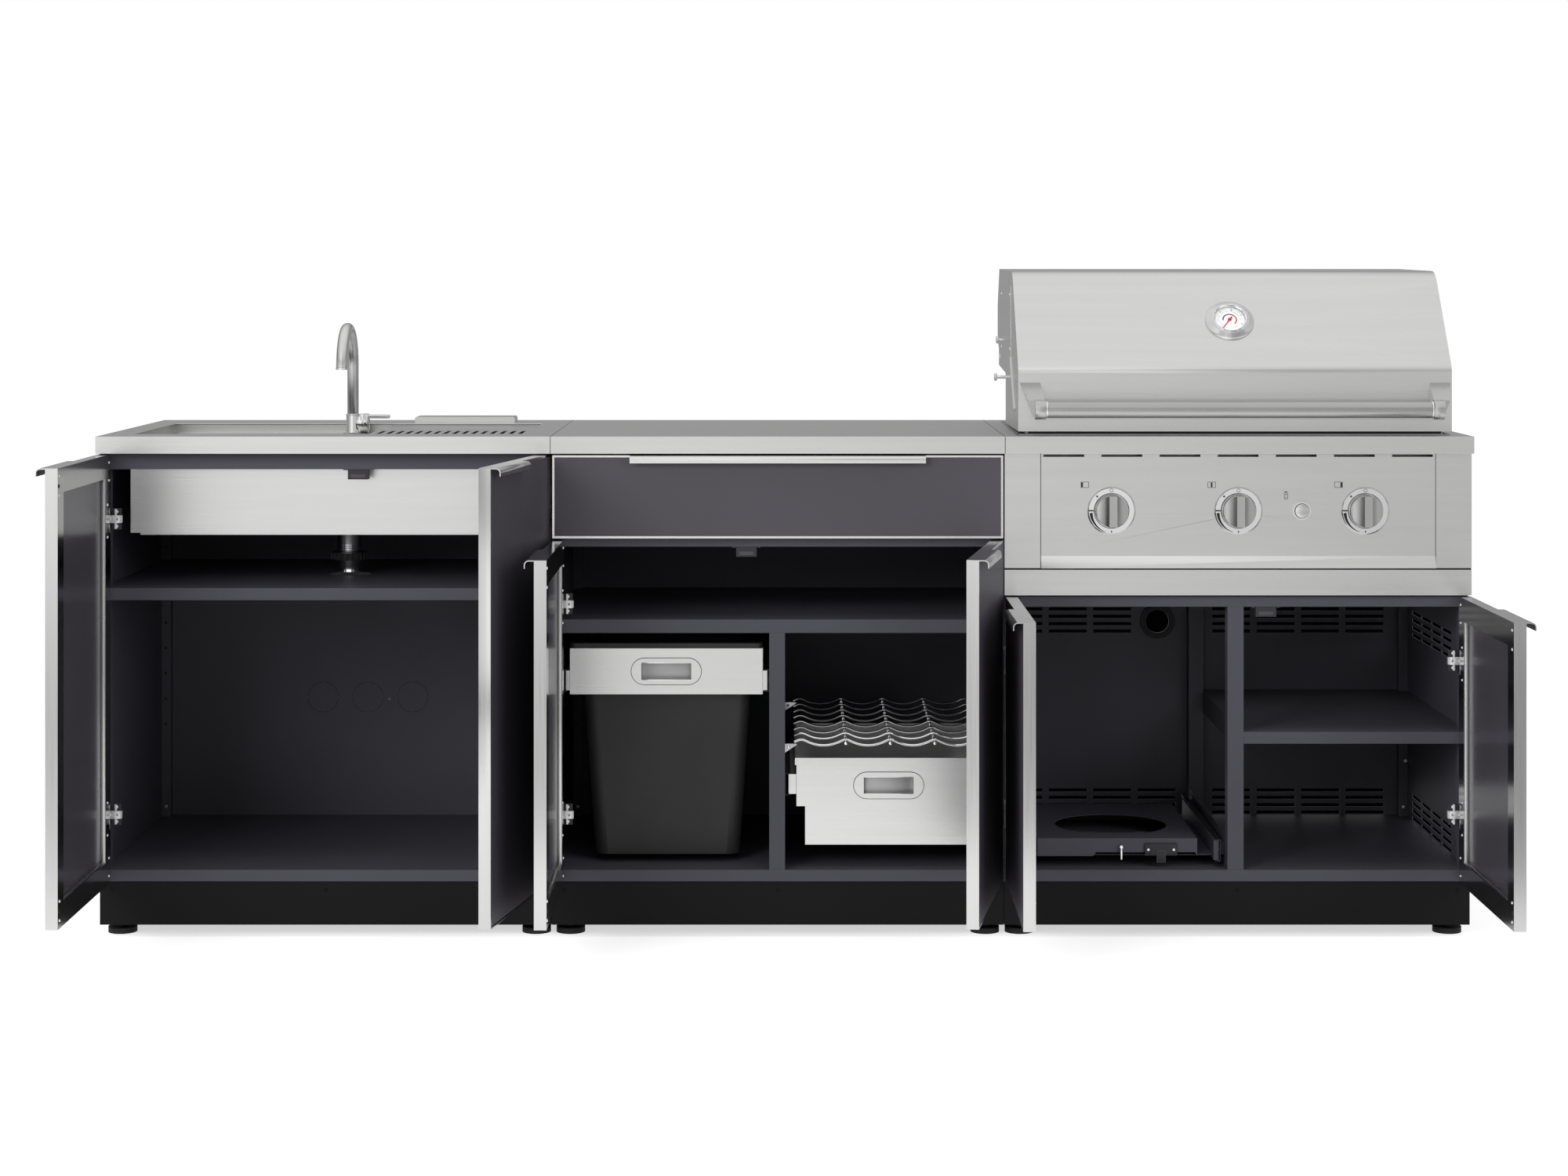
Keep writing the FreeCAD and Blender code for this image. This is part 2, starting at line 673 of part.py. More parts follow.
def door_shell(x, w, z0, z1):
    """Folded pan: shallow recess in front, deep frame behind, hinge pockets."""
    y0, y1, t, b = DOOR_FRONT, DOOR_BACK, SHEET, INNER_BORDER
    e = PANEL_EDGE
    face = y0 + PANEL_DEEP
    pan = cut(box(x, x + w, y0, y1, z0, z1),
              box(x + e, x + w - e, y0 - 1, face, z0 + e, z1 - e),
              box(x + t, x + w - t, face + t, y1 - t, z0 + t, z1 - t))
    ring = box(x + b - t, x + w - b + t, INNER_FACE, y1 - t, z0 + b - t, z1 - b + t)
    hole = box(x + b, x + w - b, INNER_FACE - 1, y1 + 1, z0 + b, z1 - b)
    pan = joined(pan, ring).cut(hole)
    axis = (x + HINGE_IN, y0 + HINGE_DEEP)
    for zc in (z0 + HINGE_END, z1 - HINGE_END):
        block = box(x + t, x + HINGE_BLOCK, face + t, y1 - t,
                    zc - HINGE_BLOCK_HALF, zc + HINGE_BLOCK_HALF)
        notch = box(x - 1, x + NOTCH_IN, y0 + NOTCH_DEEP, y1 + 1,
                    zc - HINGE_HALF, zc + HINGE_HALF)
        bore = rod_z(HINGE_BORE_R, zc - HINGE_PIN_HALF - 0.5, zc + HINGE_PIN_HALF + 0.5, *axis)
        pan = cut(joined(pan, block), notch, bore)
    return pan


def door(name, x, w, z1, flip_at, angle):
    """A left door seen closed, mirrored for a right door, then swung open."""
    z0, b, e = DOOR_LOW, INNER_BORDER - SHEET, PANEL_EDGE + PANEL_GAP
    shell = door_shell(x, w, z0, z1)
    pull = j_pull(x + w - 1 - PULL_LONG, x + w - 1, DOOR_FRONT, z1)
    face = box(x + e, x + w - e, DOOR_FRONT + PANEL_SET, DOOR_FRONT + PANEL_DEEP,
               z0 + e, z1 - e)
    inner = box(x + b, x + w - b, INNER_FACE - 1, INNER_FACE, z0 + b, z1 - b)
    axis_x = x + HINGE_IN
    parts = [shell, pull, face, inner]
    if flip_at is not None:
        parts = [flipped(part, flip_at) for part in parts]
        axis_x = 2 * flip_at - axis_x
        angle = -angle
    axis = (axis_x, DOOR_FRONT + HINGE_DEEP, 0)
    parts = [turned(part, axis, (0, 0, 1), -angle) for part in parts]
    put(name + "_shell", parts[0], parts[1])
    put(name + "_panel", parts[2], parts[3])


def hinge_arm(span, x, zc):
    """Fixed arm with its pin, for a left door whose hinge edge is at x."""
    ax, ay = x + HINGE_IN, DOOR_FRONT + HINGE_DEEP
    half, plate_y = HINGE_HALF - HINGE_SLOT, STILE_Y - 3
    left = inner_span(span)[0]
    plate = box(left, left + STILE_W, plate_y, STILE_Y, zc - half - 3, zc + half + 3)
    arm = box(ax - HINGE_ARM / 2, ax + HINGE_ARM / 2, ay, plate_y, zc - half, zc + half)
    barrel = rod_z(HINGE_BARREL_R, zc - half, zc + half, ax, ay)
    pin = rod_z(HINGE_PIN_R, zc - HINGE_PIN_HALF, zc + HINGE_PIN_HALF, ax, ay)
    block = box(ax, x + ARM_BLOCK_X, *ARM_BLOCK_Y, zc - 6.5, zc + 6.5)
    return joined(plate, arm, barrel, pin, block)


def doors():
    plan = (("sink", SINK, SINK_DOOR_TOP, OPEN_FULL, OPEN_PART),
            ("bar", BAR, BAR_DOOR_TOP, OPEN_FULL, OPEN_PART),
            ("grill", GRILL, GRILL_DOOR_TOP, OPEN_FULL, OPEN_FULL))
    for name, span, z1, left_open, right_open in plan:
        middle = (span[0] + span[1]) / 2
        x = span[0] + DOOR_GAP
        w = (span[1] - span[0] - 3 * DOOR_GAP) / 2
        door(name + "_door_left", x, w, z1, None, left_open)
        door(name + "_door_right", x, w, z1, middle, right_open)
        for zc in (DOOR_LOW + HINGE_END, z1 - HINGE_END):
            arm = hinge_arm(span, x, zc)
            put("hinge_hardware", arm, flipped(arm, middle))


def door_catches():
    """Magnetic catch blocks on plates under the top rails."""
    for x, z in CATCHES:
        plate = box(x - 27, x + 27, FRAME_Y + 2, FRAME_Y + RAIL_DEEP, z - 1.5, z)
        block = box(x - 18.5, x + 18.5, FRAME_Y + 2, FRAME_Y + 20, z - 18.5, z - 1.5)
        put("door_catches", joined(plate, block))


# Slides


def slide_channel(x_web, x_lip, zc, y0):
    """Fixed C channel: its web is at x_web and it opens towards x_lip."""
    t = SLIDE_SHEET
    xi = x_web + math.copysign(t, x_lip - x_web)
    z0, z1 = zc - SLIDE_HALF, zc + SLIDE_HALF
    points = [(x_web, z0), (x_lip, z0), (x_lip, z0 + t), (xi, z0 + t), (xi, z1 - t),
              (x_lip, z1 - t), (x_lip, z1), (x_web, z1)]
    return prism_y(points, y0, SLIDE_END)


def runner(x0, x1, zc, y0):
    half = SLIDE_HALF - SLIDE_SHEET - SLIDE_PLAY
    return box(x0, x1, y0, RUNNER_END, zc - half, zc + half)


def fixed_slides():
    left, right = inner_span(BAR)
    deep, node = SLIDE_DEEP, "fixed_slide_rails"
    xl, xr = left + STILE_W, right - STILE_W
    d0, d1 = BAR_DIVIDER
    put(node, slide_channel(xl, xl + deep, TOP_SLIDE_Z, 52),
        slide_channel(xr, xr - deep, TOP_SLIDE_Z, 52),
        slide_channel(xl, xl + deep, BIN_SLIDE_Z, 58),
        slide_channel(d0, d0 - deep, BIN_SLIDE_Z, 58),
        slide_channel(d1, d1 + deep, LOW_SLIDE_Z, 62),
        slide_channel(LOW_SPACER_X, LOW_X[1] + SLIDE_PLAY, LOW_SLIDE_Z, 62))
    xl = inner_span(GRILL)[0] + STILE_W
    put(node, slide_channel(xl, TRAY_BASE_X[0] - SLIDE_PLAY, TRAY_SLIDE_Z, 60),
        slide_channel(TRAY_SPACER_X, TRAY_SPACER_X - deep, TRAY_SLIDE_Z, 60))


# Pull-outs


def top_drawer():
    x0, x1 = BAR[0] + DRAWER_GAP, BAR[1] - DRAWER_GAP
    y0, y1 = DRAWER_FRONT, DRAWER_FACE_BACK
    z0, z1 = DRAWER_Z
    e, t = PANEL_EDGE, SHEET
    face = y0 + PANEL_DEEP
    pan = cut(box(x0, x1, y0, y1, z0, z1),
              box(x0 + e, x1 - e, y0 - 1, face, z0 + e, z1 - e),
              box(x0 + t, x1 - t, face + t, y1 + 1, z0 + t, z1 - t))
    pull = j_pull(BAR_X - DRAWER_PULL / 2, BAR_X + DRAWER_PULL / 2, y0, z1)
    put("top_drawer_front", pan, *parted_at_bend(pull, y0, z1))
    e += PANEL_GAP
    put("top_drawer_panel",
        box(x0 + e, x1 - e, y0 + PANEL_SET, face, z0 + e, z1 - e))
    bx0, bx1 = DRAWER_BOX_X
    bz0, bz1 = DRAWER_BOX_Z
    body = box(bx0, bx1, y1, DRAWER_BACK, bz0, bz1)
    body = body.cut(box(bx0 + t, bx1 - t, y1 + t, DRAWER_BACK - t, bz0 + t, bz1 + 1))
    wall = box(x0 + t, x1 - t, y1, y1 + t, z0 + t, z1 - t)
    left = runner(bx0 - DRAWER_RUNNER, bx0, TOP_SLIDE_Z, 52)
    put("top_drawer_box", joined(body, wall), left, flipped(left, BAR_X))


def oval_pull(x, z, y):
    """Flush pull: an oval plate with a finger pocket behind it."""
    w, h = OVAL
    fw, fh, t = FINGER[0] / 2, FINGER[1] / 2, SHEET
    front = y - OVAL_SHEET
    flat = (w - h) / 2
    mid = box(x - flat, x + flat, front, y, z - h / 2, z + h / 2)
    ends = [rod_y(h / 2, front, y, x + s * flat, z) for s in (-1, 1)]
    cup = box(x - fw - t, x + fw + t, y - 0.4, y + FINGER_DEEP + 0.4, z - fh - t, z + fh + t)
    pocket = box(x - fw, x + fw, y - 2, front + FINGER_DEEP, z - fh, z + fh)
    return joined(mid, cup, *ends).cut(pocket)


def pull_hole(x, z, y):
    w, h = FINGER[0] / 2 + SHEET + 0.2, FINGER[1] / 2 + SHEET + 0.2
    return box(x - w, x + w, y - 1, y + 3, z - h, z + h)


def bin_carriage():
    """Front, sides and back that hold the bin by its rim."""
    x0, x1 = BIN_FRONT_X
    z0, z1 = BIN_FRONT_Z
    y0, y1, t = BIN_FRONT_Y, BIN_BACK_Y, SHEET
    xc, zc = (x0 + x1) / 2, (z0 + z1) / 2
    front = channel_x(x0, x1, y0, z0, z1, 15).cut(pull_hole(xc, zc, y0))
    side = box(x0, x0 + t, y0 + 15, y1 - t, z0, z1)
    back = box(x0, x1, y1 - t, y1, z0, z1)
    put("bin_carriage", front, side, flipped(side, xc), back, oval_pull(xc, zc, y0),
        runner(x0 - BIN_RUNNERS[0], x0, BIN_SLIDE_Z, 61),
        runner(x1, x1 + BIN_RUNNERS[1], BIN_SLIDE_Z, 61))


def tapered(x0, x1, y0, y1, z0, z1, shrink, corner):
    """Tub form: narrower at the foot, with rounded upright corners."""
    low, high = shrink, 0
    across = [(x0 + low, z0), (x1 - low, z0), (x1 - high, z1), (x0 + high, z1)]
    along = [(y0 + low, z0), (y1 - low, z0), (y1 - high, z1), (y0 + high, z1)]
    form = prism_y(across, y0 - 1, y1 + 1).common(prism_x(along, x0 - 1, x1 + 1))
    return rounded(form, corner, lambda e: e.BoundBox.ZLength > (z1 - z0) / 2)


def waste_bin():
    xc = (BIN_FRONT_X[0] + BIN_FRONT_X[1]) / 2
    half, t = (BIN_FRONT_X[1] - BIN_FRONT_X[0]) / 2 - BIN_SIDE, BIN_WALL
    z0, z1 = BIN_BASE_Z, BIN_RIM_Z
    y0, y1 = BIN_Y
    outer = tapered(xc - half, xc + half, y0, y1, z0, z1, BIN_TAPER, BIN_CORNER)
    inner = tapered(xc - half + t, xc + half - t, y0 + t, y1 - t, z0 + t, z1 + 0.1,
                    BIN_TAPER, BIN_CORNER - t)
    rx0, rx1, ry0, ry1 = *BIN_FRONT_X, BIN_FRONT_Y + 3, BIN_BACK_Y
    low = BIN_FRONT_Z[1]
    rim = box(rx0, rx1, ry0, ry1, low, z1)
    rim = rounded(rim, BIN_RIM_CORNER, lambda e: e.BoundBox.ZLength > 1)
    under = box(rx0 + t, rx1 - t, ry0 + t, ry1 - t, low - 1, z1 - t)
    under = rounded(under, BIN_RIM_CORNER - t, lambda e: e.BoundBox.ZLength > 1)
    put("waste_bin", joined(rim.cut(under), outer).cut(inner))


def lower_drawer():
    """Stepped pan: a narrow tub under a wide one with a turned-out lip."""
    x0, x1 = LOW_X
    bx0, bx1 = x0 + LOW_STEP, x1 - LOW_STEP
    y0, y1, t = LOW_FRONT_Y, LOW_BACK_Y, SHEET
    lip, edge = LOW_LIPS
    by0, by1 = y0 + 3, y1 - LOW_STEP
    xc = (x0 + x1) / 2
    z0, z1 = LOW_Z
    body = joined(box(x0, x1, y0, y1, z0, z1), box(bx0, bx1, by0, by1, LOW_BOX_Z, z0),
                  box(x0 - lip, x1 + edge, y0 - lip, y1 + lip, z1, LOW_RIM_Z))
    body = cut(body, box(x0 + t, x1 - t, y0 + t, y1 - t, z0 + t, LOW_RIM_Z + 1),
               box(bx0 + t, bx1 - t, by0 + t, by1 - t, LOW_BOX_Z + t, z1),
               pull_hole(xc, LOW_PULL_Z, y0))
    put("lower_drawer", body, oval_pull(xc, LOW_PULL_Z, y0),
        runner(x0 - LOW_RUNNERS[0], x0, LOW_SLIDE_Z, LOW_RUNNER_Y[0]),
        runner(x1, x1 + LOW_RUNNERS[1], LOW_SLIDE_Z, LOW_RUNNER_Y[1]))


# Bottle rack


def wave_radii():
    """Lean of the wire where its arcs meet, crest radius and cradle radius."""
    half = RACK_PITCH / 2
    lean = 2 * math.atan(RACK_SAG / half)
    return lean, CREST_HALF / math.sin(lean), (half - CREST_HALF) / math.sin(lean)


def wave_height(x):
    """Height of the wire's centre line below its crests."""
    lean, crest, cradle = wave_radii()
    half = RACK_PITCH / 2
    u = abs((x - RACK_FIRST + half) % RACK_PITCH - half)
    if u <= CREST_HALF:
        return math.sqrt(crest ** 2 - u ** 2) - crest
    return cradle - math.sqrt(cradle ** 2 - (half - u) ** 2) - RACK_SAG


def arc(y, xc, zc, r, start, end):
    points = [V(xc + r * math.cos(a), y, zc + r * math.sin(a))
              for a in (start, (start + end) / 2, end)]
    return Part.Arc(*points).toShape()


def wire_edge(y, z, side):
    """Arcs along the upper (1) or lower (-1) edge of one wavy wire."""
    lean, crest, cradle = wave_radii()
    up, down, off = math.pi / 2, -math.pi / 2, side * WIRE / 2
    arcs = []
    for i in range(-2, 4):
        x = RACK_FIRST + i * RACK_PITCH
        arcs.append(arc(y, x, z - crest, crest + off, up + lean, up - lean))
        arcs.append(arc(y, x + RACK_PITCH / 2, z + cradle - RACK_SAG, cradle - off,
                        down - lean, down + lean))
    return arcs


def wavy_wire(y, z):
    """Flat-sided wire bent into cradles, trimmed to the width of the bay."""
    top, low = wire_edge(y, z, 1), wire_edge(y, z, -1)
    start = Part.makeLine(low[0].Vertexes[0].Point, top[0].Vertexes[0].Point)
    end = Part.makeLine(top[-1].Vertexes[-1].Point, low[-1].Vertexes[-1].Point)
    outline = Part.Wire([start] + top + [end] + low[::-1])
    strip = Part.Face(outline).extrude(V(0, WIRE, 0))
    return strip.common(box(*RACK_X, y - 1, y + WIRE + 1, z - 99, z + 99))


def rack_bracket(wall, x, z, y0, y1):
    """Folded ear that carries the first or the last wire."""
    return prism_y([(wall, z - 16), (wall, z), (x, z), (x, z - 2)], y0, y1)


def wine_rack():
    z_crest = RACK_CREST - WIRE / 2
    last = RACK_WIRES - 1
    for i in range(RACK_WIRES):
        y = RACK_Y + i * RACK_STEP - WIRE / 2
        put("wine_rack", wavy_wire(y, z_crest + RACK_RISE * i))
    drop = WIRE / 2 + ROD_R + 0.12
    run = last * RACK_STEP + 14
    rise = RACK_RISE / RACK_STEP * run
    for i in range(3):
        start = V(RACK_FIRST + i * RACK_PITCH, RACK_Y - 7,
                  z_crest - drop - RACK_RISE * 7 / RACK_STEP)
        put("wine_rack", Part.makeCylinder(ROD_R, math.hypot(run, rise), start, V(0, run, rise)))
    left, right = BAR_DIVIDER[1], inner_span(BAR)[1]
    for i, wall, span in ((0, right - STILE_W, (0, 12)), (last, right, (-6, 6))):
        y = RACK_Y + i * RACK_STEP
        base = z_crest + RACK_RISE * i - WIRE / 2 - 0.9
        z = base + wave_height(RACK_X[0] + 2)
        put("wine_rack", rack_bracket(left, RACK_X[0] + 5, z, y - 6, y + 6))
        z = base + wave_height(RACK_X[1] - 2)
        put("wine_rack", rack_bracket(wall, RACK_X[1] - 5, z, y + span[0], y + span[1]))


# Counters and sink


def counter(span, *openings):
    x0, x1 = span[0] + SEAM / 2, span[1] - SEAM / 2
    t = TOP_SHEET
    pan = box(x0, x1, 0, DEPTH, COUNTER_LOW, COUNTER_TOP)
    hollow = box(x0 + t, x1 - t, t, DEPTH - t, COUNTER_LOW - 1, COUNTER_TOP - t)
    return cut(pan, hollow, *openings)


def counters():
    z0, z1, gap = COUNTER_TOP - 5, COUNTER_TOP + 1, CUT_GAP
    put("sink_counter", counter(SINK, box(*RECESS_X, *RECESS_Y, z0, z1)))
    put("bar_counter", counter(BAR))
    put("grill_counter", counter(GRILL, box(BOX_X[0] - gap, BOX_X[1] + gap,
                                            BOX_Y[0] - gap, BOX_Y[1] + gap, z0, z1)))


def sink_basin():
    """Bowl with a front and a back ledge, hung from the counter by its flange."""
    t, f = BASIN_WALL, BASIN_FLANGE
    x0, x1 = BASIN_X
    y0, y1 = BASIN_Y
    top = COUNTER_TOP - TOP_SHEET
    bowl = box(x0, x1, y0, LEDGE_Y + t, BASIN_LOW, top)
    ledge = box(x0, x1, LEDGE_Y, y1, LEDGE_Z - t, top)
    flange = box(x0 - f, x1 + f, y0 - f, y1 + f, top - t, top)
    pad = box(x0 + 16, x1 - 16, y0 + 10, LEDGE_Y - 10, BASIN_LOW - 4.5, BASIN_LOW)
    well = box(x0 + t, x1 - t, y0 + t, LEDGE_Y, BASIN_LOW + t, LEDGE_Z + 1)
    rim = box(x0 + t, x1 - t, y0 + t, y1 - t, LEDGE_Z, top + 1)
    hole = rod_z(DRAIN_HOLE_R, BASIN_LOW - 10, BASIN_LOW + 10, *DRAIN)
    shape = cut(joined(bowl, ledge, flange, pad), well, rim, hole)
    front = box(x0 + t, x1 - t, y0 + t, LEDGE_FRONT, LEDGE_Z - t, LEDGE_Z)
    put("sink_basin", joined(shape, front))


def sink_drain():
    """Slotted strainer, threaded body, clamp nut and a slimmer tailpiece."""
    x, y = DRAIN
    top = BASIN_LOW + BASIN_WALL
    body = joined(rod_z(DRAIN_FLANGE_R, top, top + 2, x, y), rod_z(DRAIN_R, NUT_Z[0], top, x, y),
                  rod_z(TAIL_R, TAIL_LOW, NUT_Z[0], x, y))
    body = body.cut(rod_z(DRAIN_BORE_R, TAIL_LOW - 1, top - 4, x, y))
    slots = [box(x - 13, x + 13, y + d - 2.5, y + d + 2.5, top - 6, top + 3)
             for d in (-9.0, 0.0, 9.0)]
    nut = rod_z(NUT_R, *NUT_Z, x, y).cut(rod_z(DRAIN_R, NUT_Z[0] - 1, NUT_Z[1] + 1, x, y))
    put("sink_drain", cut(body, *slots), nut)


def drain_board():
    x0, x1 = BOARD_X
    y0, y1 = BOARD_Y
    t = BASIN_WALL
    pan = box(x0, x1, y0, y1, LEDGE_Z, BOARD_TOP)
    pan = pan.cut(box(x0 + t, x1 - t, y0 + t, y1 - t, LEDGE_Z - 1, BOARD_TOP - t))
    first = (x0 + x1) / 2 - SLOT_PITCH * (SLOTS - 1) / 2
    centres = [first + SLOT_PITCH * i for i in range(SLOTS)]
    slots = [box(x - SLOT_W / 2, x + SLOT_W / 2, *SLOT_Y, LEDGE_Z, BOARD_TOP + 1)
             for x in centres]
    put("drain_board", pan.cut(Part.makeCompound(slots)))


def deck_plate():
    x0, x1 = DECK_X
    y0, y1 = DECK_Y
    t = SHEET
    z = COUNTER_TOP + DECK_H
    outer = box(x0, x1, y0, y1, COUNTER_TOP, z)
    outer = rounded(outer, DECK_BEND, lambda e: e.BoundBox.ZMin > z - 0.1
                    and e.BoundBox.YLength > 10)
    inner = box(x0 + t, x1 - t, y0 + t, y1 - t, COUNTER_TOP - 1, z - 2)
    put("deck_plate", outer.cut(inner))


def faucet_base():
    x, y = FAUCET
    body = joined(rod_z(BODY_R, LEDGE_Z, BODY_TOP, x, y),
                  rod_z(BODY_R + 5, LEDGE_Z, LEDGE_Z + 3, x, y),
                  rod_x(HUB_R - 8, x, HUB_X[0], y, HUB_Z),
                  rod_x(HUB_R - 0.5, *HUB_X, y, HUB_Z))
    body = body.cut(rod_z(SPIGOT_BORE_R, BODY_TOP - SPIGOT_L - 0.5, BODY_TOP + 1, x, y))
    spindle = rod_x(SPINDLE_R, HUB_X[1] - 1, CAP_X[0] + 6, y, HUB_Z)
    put("faucet_base", joined(body, spindle))


def faucet_lever():
    y = FAUCET[1]
    cap = rod_x(HUB_R, *CAP_X, y, HUB_Z)
    arm = rod_x(LEVER_R, CAP_X[1] - 1, LEVER_X, y, HUB_Z + LEVER_OFF)
    bore = rod_x(SPINDLE_BORE_R, CAP_X[0] - 1, CAP_X[0] + 6.5, y, HUB_Z)
    put("faucet_lever", joined(cap, arm).cut(bore))


def faucet_spout():
    """Gooseneck that turns on a spigot in the body."""
    x, y = FAUCET
    riser = rod_z(RISER_R, BODY_TOP + PLAY, GOOSE_Z, x, y)
    spigot = rod_z(SPIGOT_R, BODY_TOP - SPIGOT_L, BODY_TOP + PLAY, x, y)
    ring = Part.Wire(Part.makeCircle(RISER_R, V(x, y, GOOSE_Z), V(0, 0, 1)))
    bend = Part.Face(ring).revolve(V(x, y - GOOSE_R, GOOSE_Z), V(1, 0, 0), 180)
    mouth = rod_z(MOUTH_R, GOOSE_Z - 1, GOOSE_Z + 9, x, y - 2 * GOOSE_R)
    put("faucet_spout", joined(riser, spigot, bend).cut(mouth))


# Grill head


def knob_places():
    return (GRILL_X - KNOB_DX, GRILL_X, GRILL_X + KNOB_DX)


def grill_surround():
    x0, x1 = GRILL[0] + SEAM, GRILL[1] - SEAM
    y0, t, w = SURROUND_Y, SHEET, PILLAR_W
    fold = y0 + FOLD
    z1 = COUNTER_LOW
    rail = channel_x(x0, x1, y0, *RAIL_Z, FOLD + 2)
    post = [(x0, y0), (x0 + w, y0), (x0 + w, fold), (x0 + w - t, fold),
            (x0 + w - t, y0 + t), (x0 + t, y0 + t), (x0 + t, fold), (x0, fold)]
    pillar = prism_z(post, HEAD_LOW, z1)
    side = joined(box(x0, x0 + t, fold, BACK_OUT, RAIL_Z[1], z1),
                  box(x0, x0 + t, fold + 2, BACK_OUT, GRILL_ROOF, RAIL_Z[1]))
    back = box(x0 + t, x1 - t, BACK_IN, BACK_OUT, GRILL_ROOF, z1)
    ledge = box(x0 + t, x1 - t, y0 + t, fold, RAIL_Z[1], HEAD_LOW)
    put("grill_surround", rail, pillar, flipped(pillar, GRILL_X), side,
        flipped(side, GRILL_X), back, ledge)


def control_panel():
    """Folded front with a bevel along its foot and a row of slots at its head."""
    x0, x1 = PANEL_X
    y, t = SURROUND_Y, SHEET
    z0, z1, nose, fold = HEAD_LOW, PANEL_TOP, y - BEVEL_OUT, y + PANEL_FOLD
    points = [(y, z1), (y, BEVEL_Z), (nose, z0), (fold, z0), (fold, z0 + t),
              (nose + 2 * t, z0 + t), (y + t, BEVEL_Z), (y + t, z1 - t),
              (fold, z1 - t), (fold, z1)]
    tools = [rod_y(STEM_R + 2, y - 2, y + 4, x, KNOB_Z) for x in knob_places()]
    tools.append(rod_y(BUTTON_SLEEVE_R + 0.1, y - 2, y + 4, IGNITER_X, KNOB_Z))
    for i in range(LOUVRES):
        x = x0 + LOUVRE_MARGIN + i * (LOUVRE_L + LOUVRE_GAP)
        tools.append(box(x, x + LOUVRE_L, y - 2, y + 4, *LOUVRE_Z))
    put("control_panel", cut(prism_x(points, x0, x1), *tools))


def control_bezels():
    y = SURROUND_Y
    ring = lathe([(STEM_R + 2, 0), (BEZEL_R, 0), (BEZEL_R, 1.5), (BEZEL_R - 2.5, 4.0),
                  (RING_R, 4.0), (RING_R - 1.5, 2.5), (STEM_R + 2, 2.5)])
    ring = turned(ring, (0, 0, 0), (1, 0, 0), 90)
    for x in knob_places():
        put("control_bezels", moved(ring, x, y, KNOB_Z))
    sleeve = joined(rod_y(BUTTON_RING_R, y - 7, y, IGNITER_X, KNOB_Z),
                    rod_y(BUTTON_SLEEVE_R, y, y + 24, IGNITER_X, KNOB_Z))
    put("control_bezels", sleeve.cut(rod_y(BUTTON_BORE_R, y - 8, y + 22, IGNITER_X, KNOB_Z)))
    put("igniter_button", rod_y(BUTTON_R, y - 10, y + 17, IGNITER_X, KNOB_Z))


def knobs():
    """Disc with a straight grip bar, bored for the valve stem."""
    y0, y1 = KNOB_Y
    w, half = GRIP_W / 2, GRIP_L / 2
    for name, x in zip(("knob_left", "knob_centre", "knob_right"), knob_places()):
        disc = rod_y(KNOB_R, y0, y1, x, KNOB_Z)
        grip = box(x - w, x + w, GRIP_FRONT, y0 + 1, KNOB_Z - half, KNOB_Z + half)
        grip = grip.common(rod_y(KNOB_R - 0.6, GRIP_FRONT, y0 + 1, x, KNOB_Z))
        bore = rod_y(STEM_BORE_R, y0 + 3.5, y1 + 1, x, KNOB_Z)
        put(name, joined(disc, grip).cut(bore))


def gas_manifold():
    """Pipe with three valves; each valve feeds the burner above it."""
    y = SURROUND_Y
    x0, x1 = PANEL_X[0] + MANIFOLD_IN, PANEL_X[1] - MANIFOLD_IN
    pieces = [rod_x(MANIFOLD_R, x0, x1, y + 40, KNOB_Z)]
    for x in knob_places():
        pieces.append(box(x - 12, x + 12, y + 8, y + 36, KNOB_Z - 12, KNOB_Z + 12))
        pieces.append(rod_z(5.5, KNOB_Z + 11, BURNER_Z + 6, x, y + 22))
        pieces.append(rod_y(4.0, y + 22, y + 46, x, BURNER_Z))
        pieces.append(rod_y(STEM_R, KNOB_Y[0] + 4, y + 9, x, KNOB_Z))
    put("gas_manifold", joined(*pieces))


# Firebox and burners


def box_side():
    """Left firebox side: a sheet that rises at the back to carry the pivot."""
    x0, (y0, y1), (py, pz) = BOX_X[0], BOX_Y, PIVOT
    top = BOX_BACK_TOP
    points = [(y0, BOX_LOW), (y0, BOX_FRONT_TOP), (py - 125, top), (py - 85, pz - 10),
              (py - 8, pz + 14), (py + 8, pz + 12), (py + 14, pz), (py + 11, pz - 11),
              (py - 1, pz - 16), (py - 8, pz - 14), (py - 30, top), (y1, top),
              (y1, BOX_LOW)]
    return prism_x(points, x0, x0 + BOX_SHEET)


